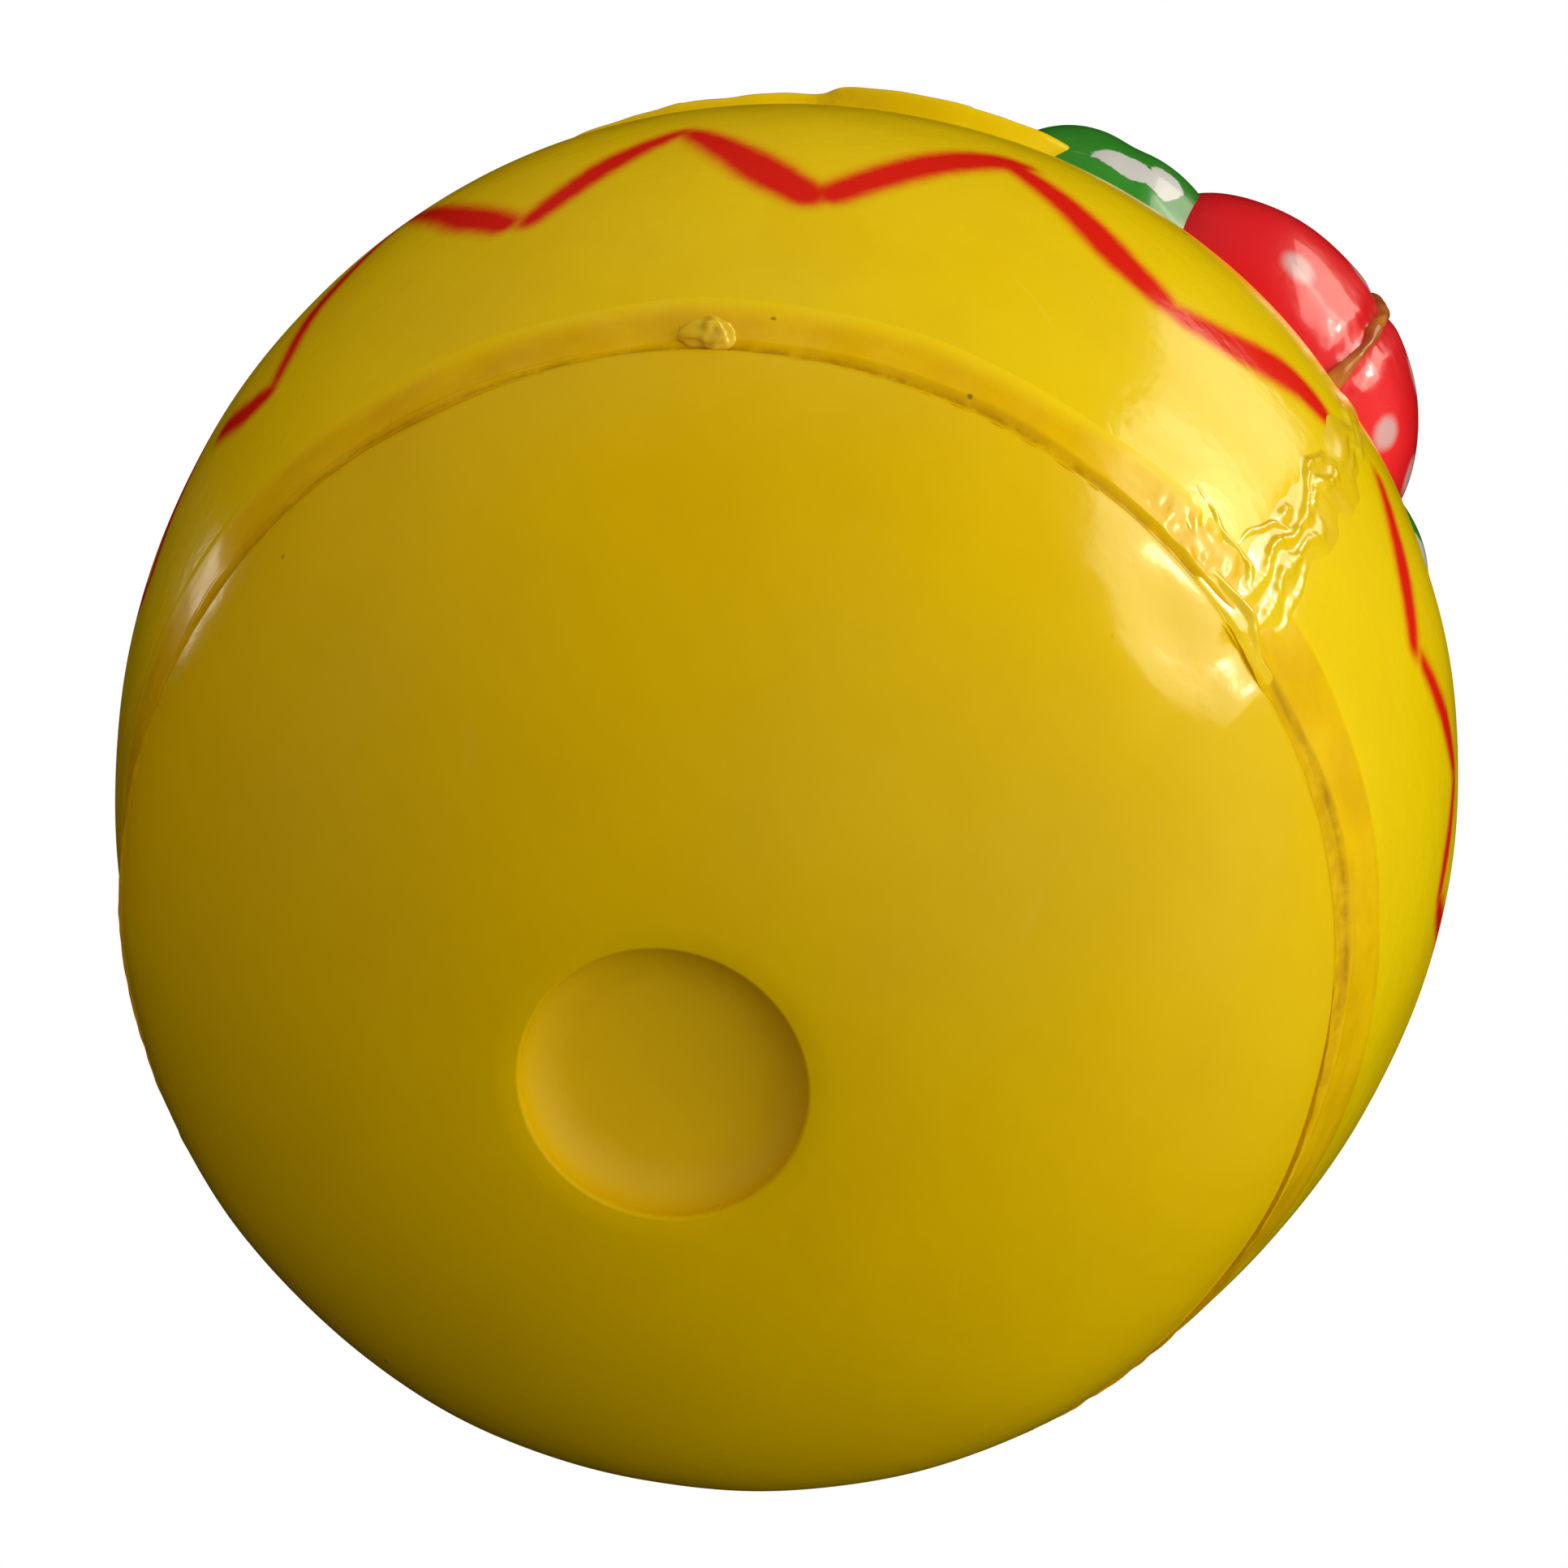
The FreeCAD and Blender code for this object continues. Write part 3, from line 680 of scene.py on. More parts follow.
def make_band(material):
    """Amber band: a strip round the body. Its offset from the body is a sunken channel just above the bowl's
    edge, then a step up to a thin skin with slow waves, which fades into the shell at its top."""
    turns = np.linspace(-180, 180, 900, endpoint=False)[None]
    low, step, top = bowl_edge(turns) - 1.0, channel_top(turns), band_top(turns)
    share = np.linspace(0, 1, 34)[:, None] ** 0.9
    heights = low + (top + 0.6 - low) * share
    points = on_body(turns, heights, 0)
    raised = smooth_step(heights, step - 0.28, step + 0.22)
    sink = smooth_step(heights, top - 1.6, top + 0.5)
    creased = hump(turns + 8, 6) * smooth_step(heights, step, step + 1.0)
    stretched = points * np.array([1.0, 1.0, 0.35])
    waves = 0.012 * ripple(points, 9, 11) + 0.004 * ripple(points, 3.5, 12)
    waves = waves + 0.05 * creased * ripple(stretched, 1.5, 15)
    lip = 0.05 * hump(heights - step - 0.4, 0.4) * (1 + 0.3 * ripple(points, 4.0, 13))
    sunk = -0.30 + 0.03 * ripple(points, 1.6, 14)
    offset = sunk * (1 - raised) + raised * (0.09 + waves + lip) * (1 - sink) - 0.05 * sink
    offset = offset + body_waves(points, turns, heights)
    outer = on_body(turns, heights, offset)
    inner = on_body(turns, heights, -1.6)
    channel = 1 - smooth_step(heights, step - 0.2, step + 0.1)
    wide = np.interp(turns, CHANNEL_TURNS, CHANNEL_WIDTHS) / 3.9
    grime_and_shade = channel * (0.25 + 0.20 * wide) + 0.60 * hump(heights - step, 0.20) * wide
    grime_and_shade = grime_and_shade + 0.55 * hump(heights - bowl_edge(turns), 0.25)
    soft = np.interp(turns, BLEND_TURNS, BLEND_WIDTHS)
    blend = smooth_step(heights, top - 0.3 - soft, top - 0.3)
    marks = {"grime_and_shade": np.clip(grime_and_shade, 0, 1), "blend": np.broadcast_to(blend, grime_and_shade.shape)}
    shape = wall(outer, inner, True)
    return add_piece("amber_band", shape, material, ["seam_band"], marks, 60)


# ---------------------------------------------------------------- the upper shells and their paint

# Each stroke: points as turn and height, and its half widths at the start, in the middle and at the end.
STROKES = [
    ([(-108.6, 51.4), (-104.6, 47.9), (-101.0, 46.4)], 1.0, 1.4, 0.6),
    ([(-100.6, 47.2), (-99.2, 50.9), (-97.4, 56.2), (-93.5, 60.8), (-89.6, 67.5)], 0.5, 1.0, 0.4),
    ([(-89.1, 67.6), (-81.5, 54.8), (-76.4, 48.9)], 0.4, 1.5, 1.1),
    ([(-74.4, 47.9), (-71.1, 51.7), (-67.1, 57.1), (-62.3, 62.2)], 0.9, 1.35, 0.3),
    ([(-62.4, 61.2), (-58.2, 55.6), (-54.2, 50.8), (-50.6, 47.7)], 0.8, 2.0, 1.6),
    ([(-49.2, 48.0), (-45.2, 53.3), (-41.2, 58.9), (-37.0, 64.0), (-34.8, 64.9)], 1.3, 1.6, 0.8),
    ([(-36.2, 64.0), (-30.4, 59.4), (-25.0, 54.3), (-19.8, 51.9)], 1.1, 1.9, 1.1),
    ([(-19.0, 51.7), (-13.2, 54.1), (-7.4, 58.6), (-3.6, 59.4)], 1.0, 1.9, 1.3),
    ([(4.3, 63.6), (8.1, 59.3), (11.7, 55.7), (15.9, 51.8)], 0.5, 1.45, 0.9),
    ([(17.6, 53.2), (23.7, 56.6), (29.3, 58.6)], 0.7, 1.3, 0.7),
    ([(29.8, 58.4), (34.5, 55.2), (38.8, 52.7)], 0.6, 1.1, 0.6),
    ([(39.5, 53.2), (43.5, 58.0), (49.0, 63.0)], 0.8, 1.4, 0.5),
]
HIDDEN_STROKES = 14
STROKE_SAMPLES = 60
STROKE_BLUR = 13
UNPAINTED = -3.0


def all_strokes():
    """The strokes above, and more of the same zigzag round the back with small seeded changes."""
    random = np.random.default_rng(21)
    knees = np.linspace(49.6, 251.4, HIDDEN_STROKES + 1)
    high = np.where(np.arange(HIDDEN_STROKES + 1) % 2 == 0, 63.0, 49.5)
    high = high + random.uniform(-2, 2, HIDDEN_STROKES + 1)
    more = []
    for index in range(HIDDEN_STROKES):
        start, end = (knees[index], high[index]), (knees[index + 1] - 0.6, high[index + 1])
        middle = ((start[0] + end[0]) / 2, (start[1] + end[1]) / 2 + random.uniform(-0.8, 0.8))
        more.append(([start, middle, end], 0.7, random.uniform(1.3, 1.7), 0.8))
    return STROKES + more


def paint_depth(turns, heights):
    """How deep each place lies inside the red paint, in millimetres and below zero outside: the largest of
    half width less distance over all the strokes. A stroke swells from its start to its middle."""
    depth = np.full(turns.shape, UNPAINTED)
    blur = np.ones(STROKE_BLUR) / STROKE_BLUR
    for points, first, middle, last in all_strokes():
        stroke_turn, stroke_height = (np.convolve(np.pad(line, STROKE_BLUR // 2, "edge"), blur, "valid")
                                      for line in along_line(points, STROKE_SAMPLES))
        widths = [first, 0.5 * (first + middle), middle, 0.4 * middle + 0.6 * last, last]
        half = np.interp(np.linspace(0, 1, STROKE_SAMPLES), [0, 0.25, 0.6, 0.9, 1], widths)
        gap = (turns[..., None] - stroke_turn + 180) % 360 - 180
        across = np.radians(gap) * BALL_RADIUS
        distance = np.hypot(across, heights[..., None] - stroke_height)
        depth = np.maximum(depth, (half - distance).max(-1))
    return depth


def make_shell(name, node, first_turn, material):
    """Upper half shell: the body's half section turned by half a turn, rows closest together where it is
    painted. Its offset from the body is slow waves and a slight pull-in beside the glued seams."""
    turns = first_turn + np.linspace(0, 180, 321)[None]
    sparse = even_part(BODY_CURVE, 31, 43, 12)[:-1]
    dense = even_part(BODY_CURVE, 43, 70, 62)
    rest = even_part(BODY_CURVE, 70, NECK_HEIGHT, 44)[1:]
    heights = np.concatenate([sparse, dense, rest])[:, 1:]
    heights, turns = np.broadcast_arrays(heights, turns)
    points = on_body(turns, heights, 0)
    outer = on_body(turns, heights, body_waves(points, turns, heights))
    inner = on_body(turns, heights, -SHELL_WALL)
    depth = paint_depth(turns, heights)
    marks = {"paint": np.append(depth, np.full(depth.size, UNPAINTED))}
    return add_piece(name, wall(outer, inner), material, [node], marks)


# ---------------------------------------------------------------- cement on the upright seams

# Wrinkles of the front cement: points as millimetres across and height, ridge height and half width.
WRINKLES = [
    ([(-4.6, 28.6), (-0.8, 28.9), (2.9, 27.9)], 0.75, 0.75),
    ([(-9.2, 34.6), (-6.9, 34.0), (-4.1, 33.4), (-2.3, 32.6), (-0.9, 30.6)], 0.55, 0.65),
    ([(-9.4, 30.6), (-5.0, 29.2)], 0.35, 0.45),
    ([(-0.9, 30.0), (-0.9, 36.4), (-0.8, 42.3), (-1.9, 49.0), (-2.3, 53.5)], 0.60, 0.60),
    ([(1.0, 29.8), (0.7, 34.7), (0.6, 39.3), (0.7, 45.5)], 0.60, 0.60),
    ([(-0.6, 42.5), (-0.3, 49.4), (0.0, 52.2), (-0.9, 54.2)], 0.55, 0.50),
    ([(-2.7, 39.6), (-2.6, 41.6)], 0.60, 0.80),
    ([(-3.9, 34.0), (-2.8, 38.7), (-1.1, 40.5)], 0.40, 0.45),
    ([(2.0, 31.0), (2.6, 35.2), (2.2, 40.0)], 0.30, 0.55),
    ([(4.4, 31.6), (5.3, 28.8)], 0.30, 0.40),
    ([(2.9, 27.7), (6.8, 27.4), (9.8, 27.7)], 0.35, 0.45),
    ([(-0.4, 53.0), (-0.6, 62.0), (0.2, 72.0), (-0.2, 84.0)], 0.45, 0.80),
    ([(0.9, 56.0), (0.5, 66.0), (1.0, 78.0)], 0.30, 0.50),
]


WRINKLE_SAMPLES = 70


def add_cement(name, node, middle, across, heights, offset, under, material):
    """Skin of cement over the shells about a middle turn; its hidden side lies under the shells' surface."""
    turns = middle + np.degrees(across / body_radius(heights))
    offset = offset + body_waves(on_body(turns, heights, 0), turns, heights)
    shape = wall(on_body(turns, heights, offset), on_body(turns, heights, -under))
    return add_piece(name, shape, material, [node], sharp=80)


def ridge_height(across, heights, ridges):
    """Height of a set of rounded ridges: each is a bell across its line, tapered at both ends."""
    total = np.zeros(across.shape)
    taper = np.sin(np.pi * np.linspace(0.04, 0.96, WRINKLE_SAMPLES)) ** 0.5
    for points, size, width in ridges:
        line_across, line_height = along_line(points, WRINKLE_SAMPLES)
        distance = np.hypot(across[..., None] - line_across, heights[..., None] - line_height)
        one = (size * taper * hump(distance, 0.7 * width)).max(-1)
        total = np.maximum(total, one) + 0.25 * np.minimum(total, one)
    return total


def make_front_cement(material):
    """Smeared cement on the front seam: a skin over the shells whose offset is a low smear along the seam
    plus wrinkled ridges, and which dips under the shells at its ragged sides."""
    heights = np.linspace(25.6, 86.0, 330)[:, None]
    across = np.linspace(-10.5, 10.5, 112)[None]
    heights, across = np.broadcast_arrays(heights, across)
    points = np.stack([across, np.zeros_like(across), heights], -1)
    warp = 0.35 * ripple(points, 5.0, 41)
    shifted = across + warp
    smear = 0.22 * hump(shifted + 0.2, 3.0) * (1 - 0.45 * smooth_step(heights, 50, 70))
    wrinkles = ridge_height(shifted, heights + 0.3 * ripple(points, 4.0, 42), WRINKLES)
    fine = 0.04 * ripple(points, 1.5, 43) * smooth_step(smear + wrinkles, 0.1, 0.5)
    fine = fine * (1 - smooth_step(heights, 48, 58))
    offset = -0.10 + smear + 0.55 * wrinkles + fine + 0.015 * ripple(points, 3.0, 44)
    edge = smooth_step(np.abs(across), 9.4, 10.4) + smooth_step(heights, 85, 86)
    offset = np.clip(offset, -0.4, 1.1) - 0.6 * np.clip(edge, 0, 1)
    low_side = smooth_step(np.abs(across), 4.6, 6.4) * (1 - smooth_step(heights, 28.6, 30.4))
    offset = offset - 0.55 * (1 - smooth_step(heights, 26.2, 27.2)) - 0.7 * low_side
    return add_cement("front_cement", "front_seam_strip", 0, across, heights, offset, 1.3, material)


def make_back_cement(material):
    """Cement on the back seam: the same skin, narrower and calmer."""
    heights = np.linspace(26.0, 98.0, 260)[:, None]
    across = np.linspace(-3.4, 3.4, 32)[None]
    heights, across = np.broadcast_arrays(heights, across)
    points = np.stack([across, np.full_like(across, 9.0), heights], -1)
    shifted = across + 0.3 * ripple(points, 7.0, 51)
    offset = -0.2 + 0.34 * hump(shifted, 1.2) + 0.08 * ripple(points, 2.2, 52) * hump(shifted, 1.4)
    offset = offset - 0.4 * smooth_step(np.abs(across), 2.6, 3.3)
    return add_cement("back_cement", "back_seam_strip", 180, across, heights, offset, 1.2, material)


def make_nub(material):
    """Drop of cement on the low seam: an egg pushed in and out by short waves so that it looks faceted."""
    up = np.radians(np.linspace(-90, 90, 41))[:, None]
    unit = place(np.cos(up), np.linspace(0, 360, 64, endpoint=False)[None], np.sin(up))
    aside = unit[..., 0]
    swell = 1 + 0.11 * ripple(unit * 10, 7.5, 61) + 0.16 * np.abs(aside) ** 3 * np.sign(aside + 0.2)
    egg = unit * swell[..., None] * np.array([1.75, 1.35, 1.25])
    tail = smooth_step(-aside, 0.35, 1.0)
    egg[..., 0] -= 0.9 * tail
    egg[..., 2] -= 0.25 * tail
    centre = place(BALL_RADIUS * SEAM_SHARES[0] + 0.55, -55.6, SEAM_HEIGHT + 0.9)
    shape = turned(egg.reshape(-1, 3), -56) + centre, grid_faces(*unit.shape[:2], True)
    return add_piece("cement_drop", shape, material, ["cement_nub"], sharp=60)


# ---------------------------------------------------------------- trim on the shoulder

def egg_grid(half_sizes, radius, height, turn, longitudes, latitudes, offset):
    """Grid on an egg out at a radius and turn: longitude 0 faces outwards, and latitude runs from bottom
    to top."""
    across, out, upward = half_sizes
    longitude, latitude = np.meshgrid(np.radians(longitudes), np.radians(latitudes))
    sized = [np.maximum(size + offset, 0.05) for size in (across, out, upward)]
    point = np.stack([sized[0] * np.cos(latitude) * np.sin(longitude),
                      -sized[1] * np.cos(latitude) * np.cos(longitude) - radius,
                      sized[2] * np.sin(latitude) + height], -1)
    return turned(point, turn)


def add_egg(name, node, egg, offset, material):
    """Hollow part of an egg: its outside moved by the offset, and its inside by the wall."""
    shape = wall(egg_grid(*egg, offset), egg_grid(*egg, -TRIM_WALL))
    return add_piece(name, shape, material, [node], sharp=50)


CAP_RADIUS = BALL_RADIUS * 0.849
LEAF_RADIUS = BALL_RADIUS * 0.815
TRIM_HEIGHT = BALL_HEIGHT * 0.832
# Half sizes across, outwards and up.
CAP_SIZES = {"left": (19.0, 11.7, 17.6), "right": (16.5, 11.7, 17.6)}
LEAF_SIZES = (12.4, 9.0, 13.0)
LEAF_TURN = 24.5


def make_cap(side, sign, material):
    """Half of the red cap: a quarter of an egg with a valley beside the glued edge, small wrinkles near it,
    and slow waves."""
    longitudes = np.linspace(0, 118, 96) if sign > 0 else np.linspace(-118, 0, 96)
    egg = CAP_SIZES[side], CAP_RADIUS, TRIM_HEIGHT, 0, longitudes, np.linspace(-90, 90, 121)
    plain = egg_grid(*egg, 0.0)
    across = np.abs(plain[..., 0])
    wrinkled = 0.22 * hump(across, 4.2) * (1 - smooth_step(plain[..., 2], 92, 102))
    offset = -0.30 * hump(across - 1.2, 1.0) + 0.14 * ripple(plain, 2.0, 71) * wrinkled
    offset = offset + 0.12 * ripple(plain, 14, 72) - 0.18 * hump(across, 0.9)
    return add_egg("cap_" + side, "red_cap_" + side, egg, offset, material)


def make_cap_ridge(material):
    """Bead of cement up the middle of the cap: a half-round strip along the glued edge, uneven in width."""
    up = np.radians(np.linspace(-74, 128, 260))[:, None]
    share = np.linspace(-1, 1, 17)[None]
    out, upward = CAP_SIZES["left"][1:]
    none, cosine, sine = np.zeros_like(up), np.cos(up), np.sin(up)
    spine = np.concatenate([none, -out * cosine - CAP_RADIUS, upward * sine + TRIM_HEIGHT], -1)
    normal = np.concatenate([none, -cosine / out, sine / upward], -1)
    normal /= np.linalg.norm(normal, axis=1, keepdims=True)
    width = 0.72 + 0.14 * ripple(spine, 5.0, 81)[:, None]
    rise = 0.46 * (1 - share ** 2) ** 0.6 * (1 + 0.12 * ripple(spine, 2.4, 82)[:, None]) - 0.02
    sway = 0.10 * ripple(spine, 9.0, 83)[:, None]
    aside = np.array([1.0, 0, 0]) * (share * width + sway)[..., None]
    outer = spine[:, None] + normal[:, None] * rise[..., None] + aside
    inner = spine[:, None] - normal[:, None] * 0.5 + aside
    shape = wall(outer, inner)
    return add_piece("cap_bead", shape, material, ["red_cap_ridge"], sharp=70)


def make_leaf(side, sign, material):
    """Green leaf: an egg with a shallow groove down its middle and slow waves."""
    longitudes = np.linspace(-112, 112, 130)
    egg = LEAF_SIZES, LEAF_RADIUS, TRIM_HEIGHT, LEAF_TURN * sign, longitudes, np.linspace(-90, 90, 101)
    offset = 0.14 * ripple(egg_grid(*egg, 0.0), 13, 91) - 0.22 * hump(longitudes - 8 * sign, 9)
    return add_egg("leaf_" + side, "green_leaf_" + side, egg, offset, material)


SCALLOP_PITCH = 360 / 13


def make_ruffle(side, first_turn, last_turn, material):
    """Half of the ruffle: for each turn a rounded frill section, drawn as a cubic B-spline through twelve
    control points. The hem dips in the middle of each scallop and rises to a pleat between two scallops."""
    turns = np.linspace(first_turn, last_turn, 520)
    phase = (turns / SCALLOP_PITCH) % 1.0
    bulge = (0.04 + 0.96 * np.sin(np.pi * phase) ** 2) ** 0.33
    from_pleat = (phase + 0.5) % 1.0 - 0.5
    skew = np.tanh(from_pleat / 0.05) * np.exp(-np.abs(from_pleat) * 6)
    hem = 97.6 - 4.6 * bulge
    reach = 53.9 + 0.9 * bulge + 0.7 * skew * np.sign(-turns)
    pleat = np.exp(-(np.minimum(phase, 1 - phase) / 0.10) ** 2)
    root = hem - 5.2
    zeros = np.zeros_like(turns)
    inside = body_radius(root) - 1.6
    controls = [
        (inside - 4, root + 2.0), (inside, root), (body_radius(root + 1.4) - 0.1, root + 1.2),
        (reach - 1.8, hem - 1.5), (reach + 0.25, hem - 0.35), (reach + 0.15, hem + 1.0),
        (reach - 0.9 - 0.5 * pleat, hem + 2.6), (50.5 - 1.4 * pleat + zeros, 102.2 - 1.0 * pleat),
        (46.0 - 1.6 * pleat + zeros, 106.2 - 1.4 * pleat), (40.5 + zeros, 108.0 - 1.2 * pleat),
        (36.2 + zeros, 107.4 + zeros), (35.0 + zeros, 104.0 + zeros)]
    controls = np.array([[r + zeros, z + zeros] for r, z in controls])
    steps = np.linspace(0, len(controls) - 3.0001, 64)
    base = np.floor(steps).astype(int)
    t = (steps - base)[:, None, None]
    weights = [(1 - t) ** 3 / 6, (3 * t ** 3 - 6 * t ** 2 + 4) / 6,
               (-3 * t ** 3 + 3 * t ** 2 + 3 * t + 1) / 6, t ** 3 / 6]
    section = sum(weight * controls[base + index] for index, weight in enumerate(weights))
    radii, heights = section[:, 0], section[:, 1]
    points = place(radii, turns[None], heights)
    waves = 0.10 * ripple(points, 9, 101) + 0.04 * ripple(points, 4, 102)
    outer = place(radii + waves, turns[None], heights)
    inner = place(radii * 0.94 - 0.4, turns[None], heights * 0.985)
    # Painted shade: the mark darkens the pleats near the hem, where the creases between the scallops fall
    # into shade.
    marks = {"grime_and_shade": 0.35 * pleat * hump(radii - reach, 2.0)}
    shape = wall(outer, inner)
    return add_piece("frill_" + side, shape, material, ["ruffle_" + side], marks, 60)


def make_crown(material):
    """Crown: the body's half section above the neck, turned about the axis, with a rounded edge at the neck,
    its inside, and the spigot that goes down into the neck."""
    turns = np.linspace(-180, 180, 240, endpoint=False)[None]
    top = even_part(BODY_CURVE, NECK_HEIGHT, BALL_HEIGHT - 0.02, 60)[:-1]
    outside = place(top[:, :1], turns, top[:, 1:])
    rows = np.broadcast_to(top[:, 1:], outside.shape[:2])
    offset = 0.05 * ripple(outside, 30, 111) - 0.10
    offset = offset - 0.35 * (1 - smooth_step(rows, NECK_HEIGHT, NECK_HEIGHT + 0.7))
    outside = place(top[:, :1] + 0.3 * offset, turns, top[:, 1:] + offset)
    under = top - outward(top) * SHELL_WALL
    hidden = under[::-1][::4]
    hidden = hidden[hidden[:, 0] < 30.6]
    spigot = np.array([[30.8, NECK_HEIGHT - 5], [32.0, NECK_HEIGHT - 5], [32.2, NECK_HEIGHT - 0.6]])
    below = np.concatenate([hidden, spigot])
    grid = np.concatenate([place(below[:, :1], turns, below[:, 1:]), outside])
    shape = lathe(grid, (0, 0, BALL_HEIGHT - SHELL_WALL), (0, 0, BALL_HEIGHT - 0.12))
    return add_piece("crown_dome", shape, material, ["crown"])


# ---------------------------------------------------------------- building

plastic = yellow_plastic("yellow_plastic", YELLOW, False)
bright_plastic = yellow_plastic("bright_yellow_plastic", BRIGHT_YELLOW, False)
painted_plastic = yellow_plastic("painted_yellow_plastic", BRIGHT_YELLOW, True)
cement = amber_cement("amber_cement", AMBER, DEEP_AMBER, True, 0.22)
clear_cement = amber_cement("clear_cement", (0.97, 0.67, 0.003, 1), (0.93, 0.58, 0.003, 1), False, 0.9,
                            WHITE_SHINE)
drop_cement = amber_cement("cement_drop", (1.0, 0.66, 0.04, 1), (0.92, 0.56, 0.01, 1), False, 1.0,
                           WHITE_SHINE)
red_cement = amber_cement("cement_over_red", (0.66, 0.22, 0.03, 1), (0.45, 0.10, 0.02, 1))
# Centre and half sizes of each white spot and of each ragged patch.
CAP_SPOTS = [((-9.2, -58.1, 90.8), (1.7, 1.7, 1.9)), ((7.3, -56.7, 87.6), (1.4, 1.6, 2.3)),
             ((-3.2, -61.0, 101.5), (1.8, 1.8, 1.8)), ((6.6, -59.6, 100.0), (1.8, 1.8, 1.8)),
             ((-12.6, -56.6, 103.5), (1.8, 1.8, 1.8)), ((13.2, -55.2, 94.2), (1.7, 1.7, 1.8)),
             ((-6.0, -55.0, 113.0), (1.8, 1.8, 1.8)), ((5.5, -54.0, 113.2), (1.8, 1.8, 1.8)),
             ((13.0, -50.5, 107.5), (1.7, 1.7, 1.7))]
LEAF_PATCHES = [((-24.4, -50.0, 94.4), (4.0, 3.0, 1.7)), ((-21.3, -51.8, 95.0), (2.0, 2.2, 2.4)),
                ((24.2, -50.2, 94.6), (4.6, 3.2, 3.0)), ((21.3, -51.9, 96.0), (2.6, 2.6, 3.2))]
red_gloss = glossy_trim("red_gloss", CAP_RED, CAP_SPOTS, SPOT_ROSE, 0.38, 0.15, 500.0)
green_gloss = glossy_trim("green_gloss", LEAF_GREEN, LEAF_PATCHES, PATCH_CREAM, 0.05, 0.85, 420.0)

make_bowl(plastic)
make_band(cement)
make_shell("shell_left", "upper_shell_left", -180, painted_plastic)
make_shell("shell_right", "upper_shell_right", 0, painted_plastic)
make_front_cement(clear_cement)
make_back_cement(clear_cement)
make_nub(drop_cement)
make_cap("left", -1, red_gloss)
make_cap("right", 1, red_gloss)
make_cap_ridge(red_cement)
make_leaf("left", -1, green_gloss)
make_leaf("right", 1, green_gloss)
make_ruffle("left", -180, -26, bright_plastic)
make_ruffle("right", 26, 180, bright_plastic)
make_crown(bright_plastic)

# The parts inside keep their CAD shapes and get their own finishes.
iron = plain_metal("cast_iron", (0.10, 0.10, 0.105, 1), (0.05, 0.048, 0.046, 1), 0.6, 500.0)
brass = plain_metal("turned_brass", (0.62, 0.42, 0.15, 1), (0.45, 0.29, 0.10, 1), 0.28, 900.0)
steel = plain_metal("plain_steel", (0.52, 0.52, 0.54, 1), (0.38, 0.38, 0.40, 1), 0.30, 1200.0)
pale_plastic = plain_metal("pale_plastic", (0.72, 0.71, 0.66, 1), (0.60, 0.58, 0.52, 1), 0.45, 800.0, 0.0)
INSIDE = {"ballast": iron, "chime_block": brass, "striker_bob": brass,
          "pin_spacer_front": pale_plastic, "pin_spacer_back": pale_plastic}
for name in ("ballast_washer", "ballast_screw", "chime_rod_1", "chime_rod_2", "chime_rod_3", "chime_rod_4",
             "chime_frame", "frame_rivets", "pivot_pin", "striker_arm"):
    INSIDE[name] = steel
for name, finish in INSIDE.items():
    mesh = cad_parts[name].data
    mesh.materials.clear()
    mesh.materials.append(finish)


# ---------------------------------------------------------------- stage, light and camera

# Metres: half the floor, and the point the lamps look at.
FLOOR_HALF = 3.0
BODY_CENTRE = Vector((0, 0, 0.057))
WARM_LIGHT = (1.0, 0.94, 0.78)
AMBIENT = 0.02
GLOW_POWER = 5.0
# Direction, strength and share of green of each glow.
GLOWS = [((0.51, -0.83, 0.20), 2.60, 1.06), ((-0.69, -0.28, 0.67), 1.60, 0.90),
         ((0.03, -0.68, -0.73), 1.56, 0.97), ((-0.81, 0.44, -0.27), 0.62, 0.90)]
# Name, direction, distance, size and power of each lamp.
LAMPS = [("window", (0.05, -0.93, 0.38), 0.70, 0.32, 0.95),
         ("upper_window", (0.01, -0.75, 0.66), 0.70, 0.22, 0.30),
         ("lamp", (0.06, -0.90, 0.44), 0.75, 0.08, 0.42),
         ("back_lamp", (-0.46, 0.61, 0.65), 0.90, 0.08, 0.04)]


def make_floor():
    """Pale floor at the rest plane that is seen only from above, so that the ball shows from below too."""
    mesh = bpy.data.meshes.new("floor")
    corners = [(x * FLOOR_HALF, y * FLOOR_HALF, 0) for x, y in ((-1, -1), (1, -1), (1, 1), (-1, 1))]
    mesh.from_pydata(corners, [], [(0, 1, 2, 3)])
    floor = new_object("floor", mesh)
    material, tree, shader = new_material("pale_floor", Roughness=0.9)
    shade = blend_colour(tree, noise(tree, 6.0), (0.80, 0.80, 0.79, 1), (0.77, 0.77, 0.76, 1))
    feed(tree, shader.inputs["Base Color"], shade)
    clear = tree.nodes.new("ShaderNodeBsdfTransparent")
    path = tree.nodes.new("ShaderNodeLightPath")
    facing = calculate(tree, "SUBTRACT", 1.0, tree.nodes.new("ShaderNodeNewGeometry").outputs["Backfacing"])
    seen = times(tree, path.outputs["Is Camera Ray"], facing)
    mixed = tree.nodes.new("ShaderNodeMixShader")
    feed(tree, mixed.inputs[0], seen)
    tree.links.new(clear.outputs[0], mixed.inputs[1])
    tree.links.new(shader.outputs[0], mixed.inputs[2])
    tree.links.new(mixed.outputs[0], tree.nodes["Material Output"].inputs["Surface"])
    mesh.materials.append(material)


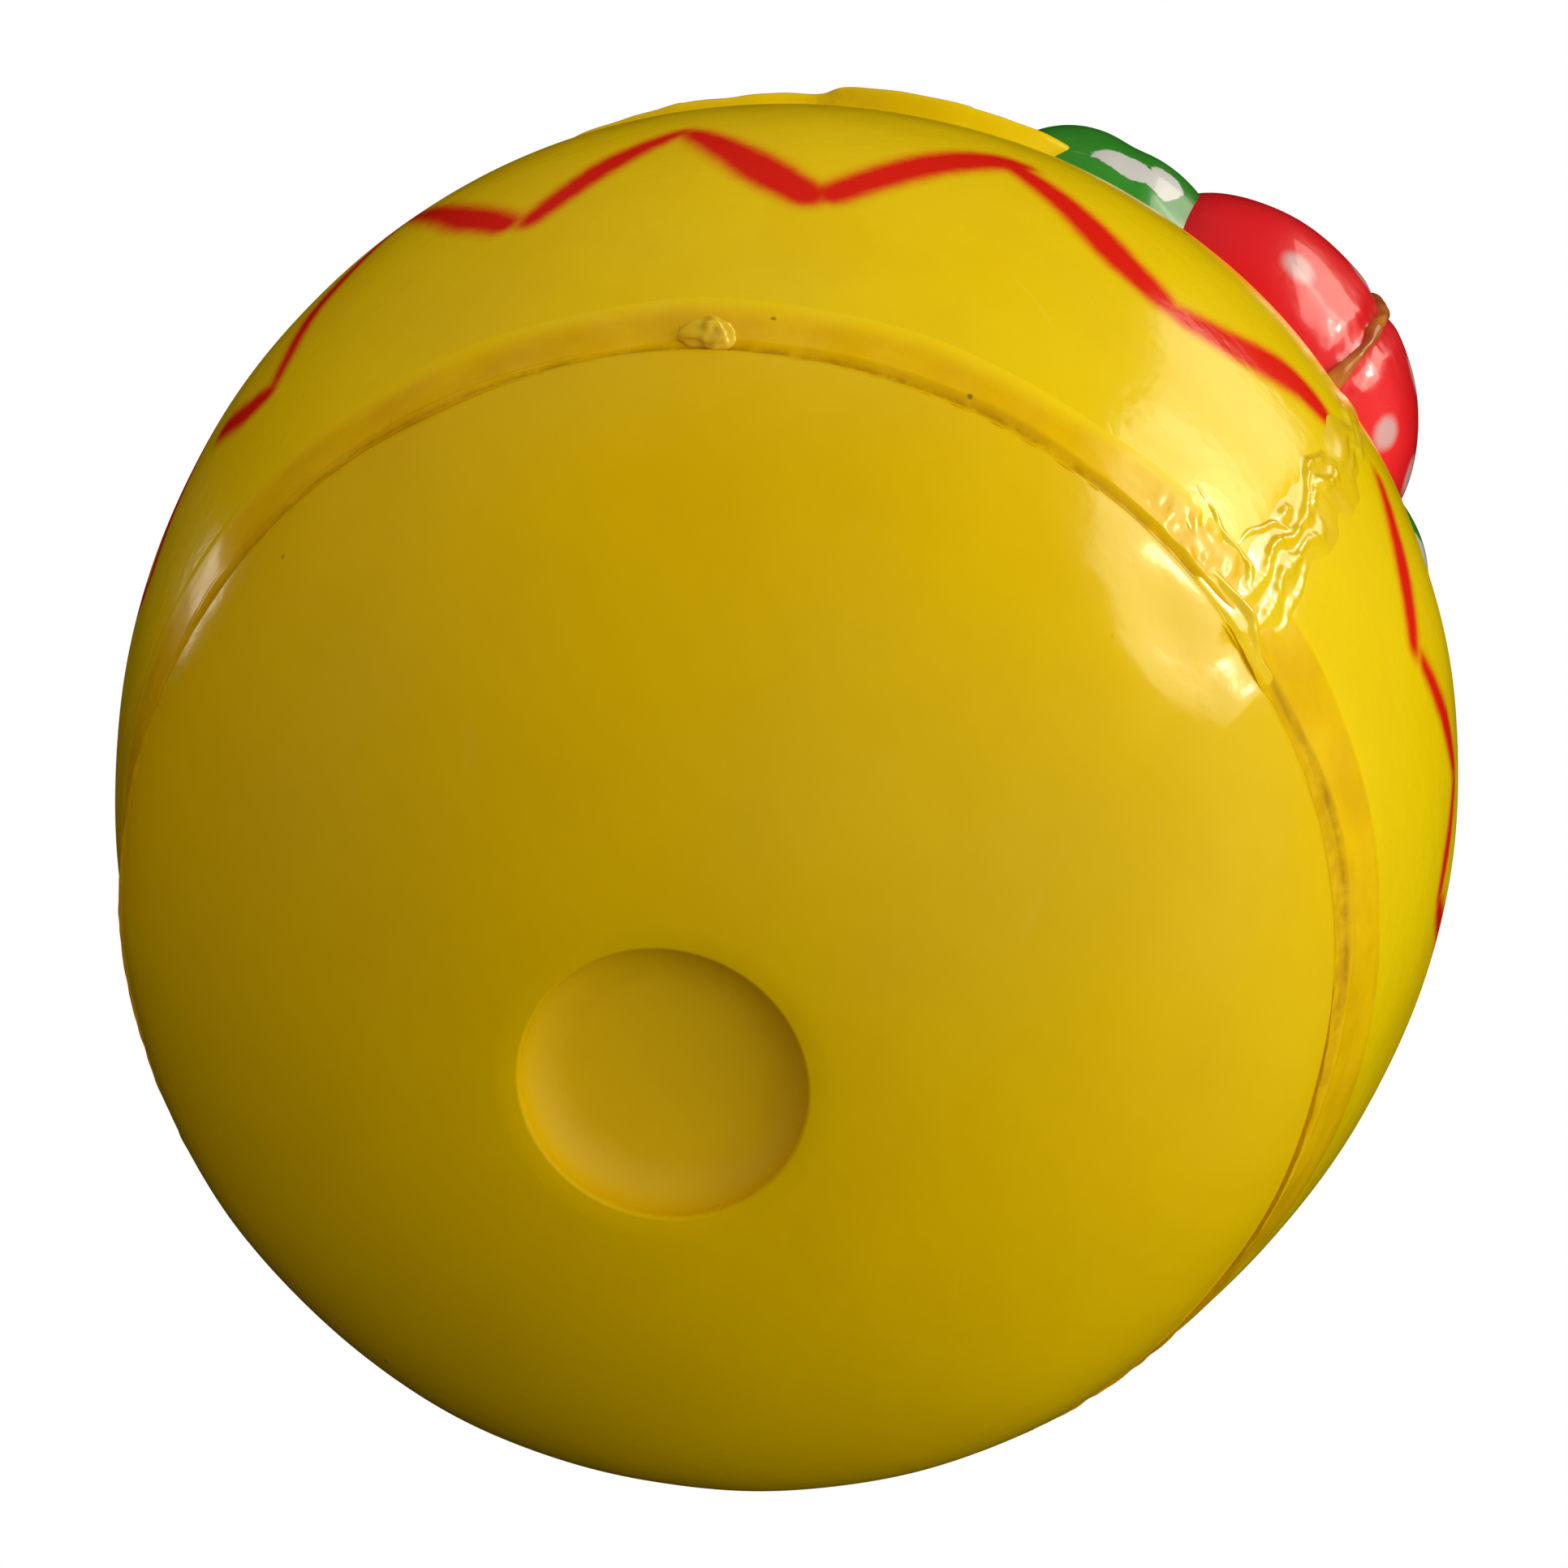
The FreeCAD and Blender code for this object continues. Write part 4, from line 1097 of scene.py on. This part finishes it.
def make_world():
    """White behind the ball. As a light it is dim all round plus wide glows, each a direction, a strength
    that fades as the fifth power of the cosine and a share of green, below one for a warmer glow and above
    one for a cooler one. It is left out of reflections, which show the lamps only."""
    world = bpy.data.worlds.new("studio")
    bpy.context.scene.world = world
    world.use_nodes = True
    tree = world.node_tree
    background = tree.nodes["Background"]
    look = tree.nodes.new("ShaderNodeTexCoord").outputs["Generated"]
    total, green = AMBIENT, AMBIENT
    for direction, strength, green_share in GLOWS:
        facing = vector_math(tree, "DOT_PRODUCT", look, tuple(Vector(direction).normalized()))["Value"]
        fade = calculate(tree, "POWER", calculate(tree, "MAXIMUM", facing, 0.0), GLOW_POWER)
        total = calculate(tree, "MULTIPLY_ADD", fade, strength, total)
        green = calculate(tree, "MULTIPLY_ADD", fade, strength * green_share, green)
    path = tree.nodes.new("ShaderNodeLightPath")
    colour = tree.nodes.new("ShaderNodeCombineColor")
    for label, value in (("Red", total), ("Green", green), ("Blue", total)):
        feed(tree, colour.inputs[label], value)
    backdrop = blend_colour(tree, path.outputs["Is Camera Ray"], colour.outputs[0], (1, 1, 1, 1))
    feed(tree, background.inputs["Color"], backdrop)
    world.cycles_visibility.glossy = False


def soft_light(name, direction, distance, size, power):
    """Square area light that looks at the middle of the ball from a direction. Only its reflection shows."""
    light = bpy.data.lights.new(name, "AREA")
    light.size = size
    light.energy = power
    light.color = WARM_LIGHT
    lamp = new_object(name, light)
    aim = Vector(direction).normalized()
    lamp.location = BODY_CENTRE + aim * distance
    lamp.visible_diffuse = False
    lamp.rotation_euler = aim.to_track_quat("Z", "Y").to_euler()


make_floor()
make_world()
for lamp in LAMPS:
    soft_light(*lamp)

# The ball is looked at from below and a little to the front left. These are the camera's own axes as seen in
# the scene, and its place in metres.
EYE_AXES = np.array([(0.57043, -0.80951, 0.1390), (-0.79461, -0.5010, 0.3430),
                     (-0.20803, -0.3061, -0.9290)]).T
EYE_PLACE = (-0.07107, -0.10449, -0.25411)
camera = bpy.data.cameras.new("camera")
camera.sensor_width = 36
camera.lens = 90.5
camera.clip_start = 0.01
eye = new_object("camera", camera)
stand = np.eye(4)
stand[:3, :3] = EYE_AXES
stand[:3, 3] = EYE_PLACE
eye.matrix_world = Matrix(stand.tolist())
bpy.context.scene.camera = eye
bpy.context.scene.view_settings.view_transform = "Standard"
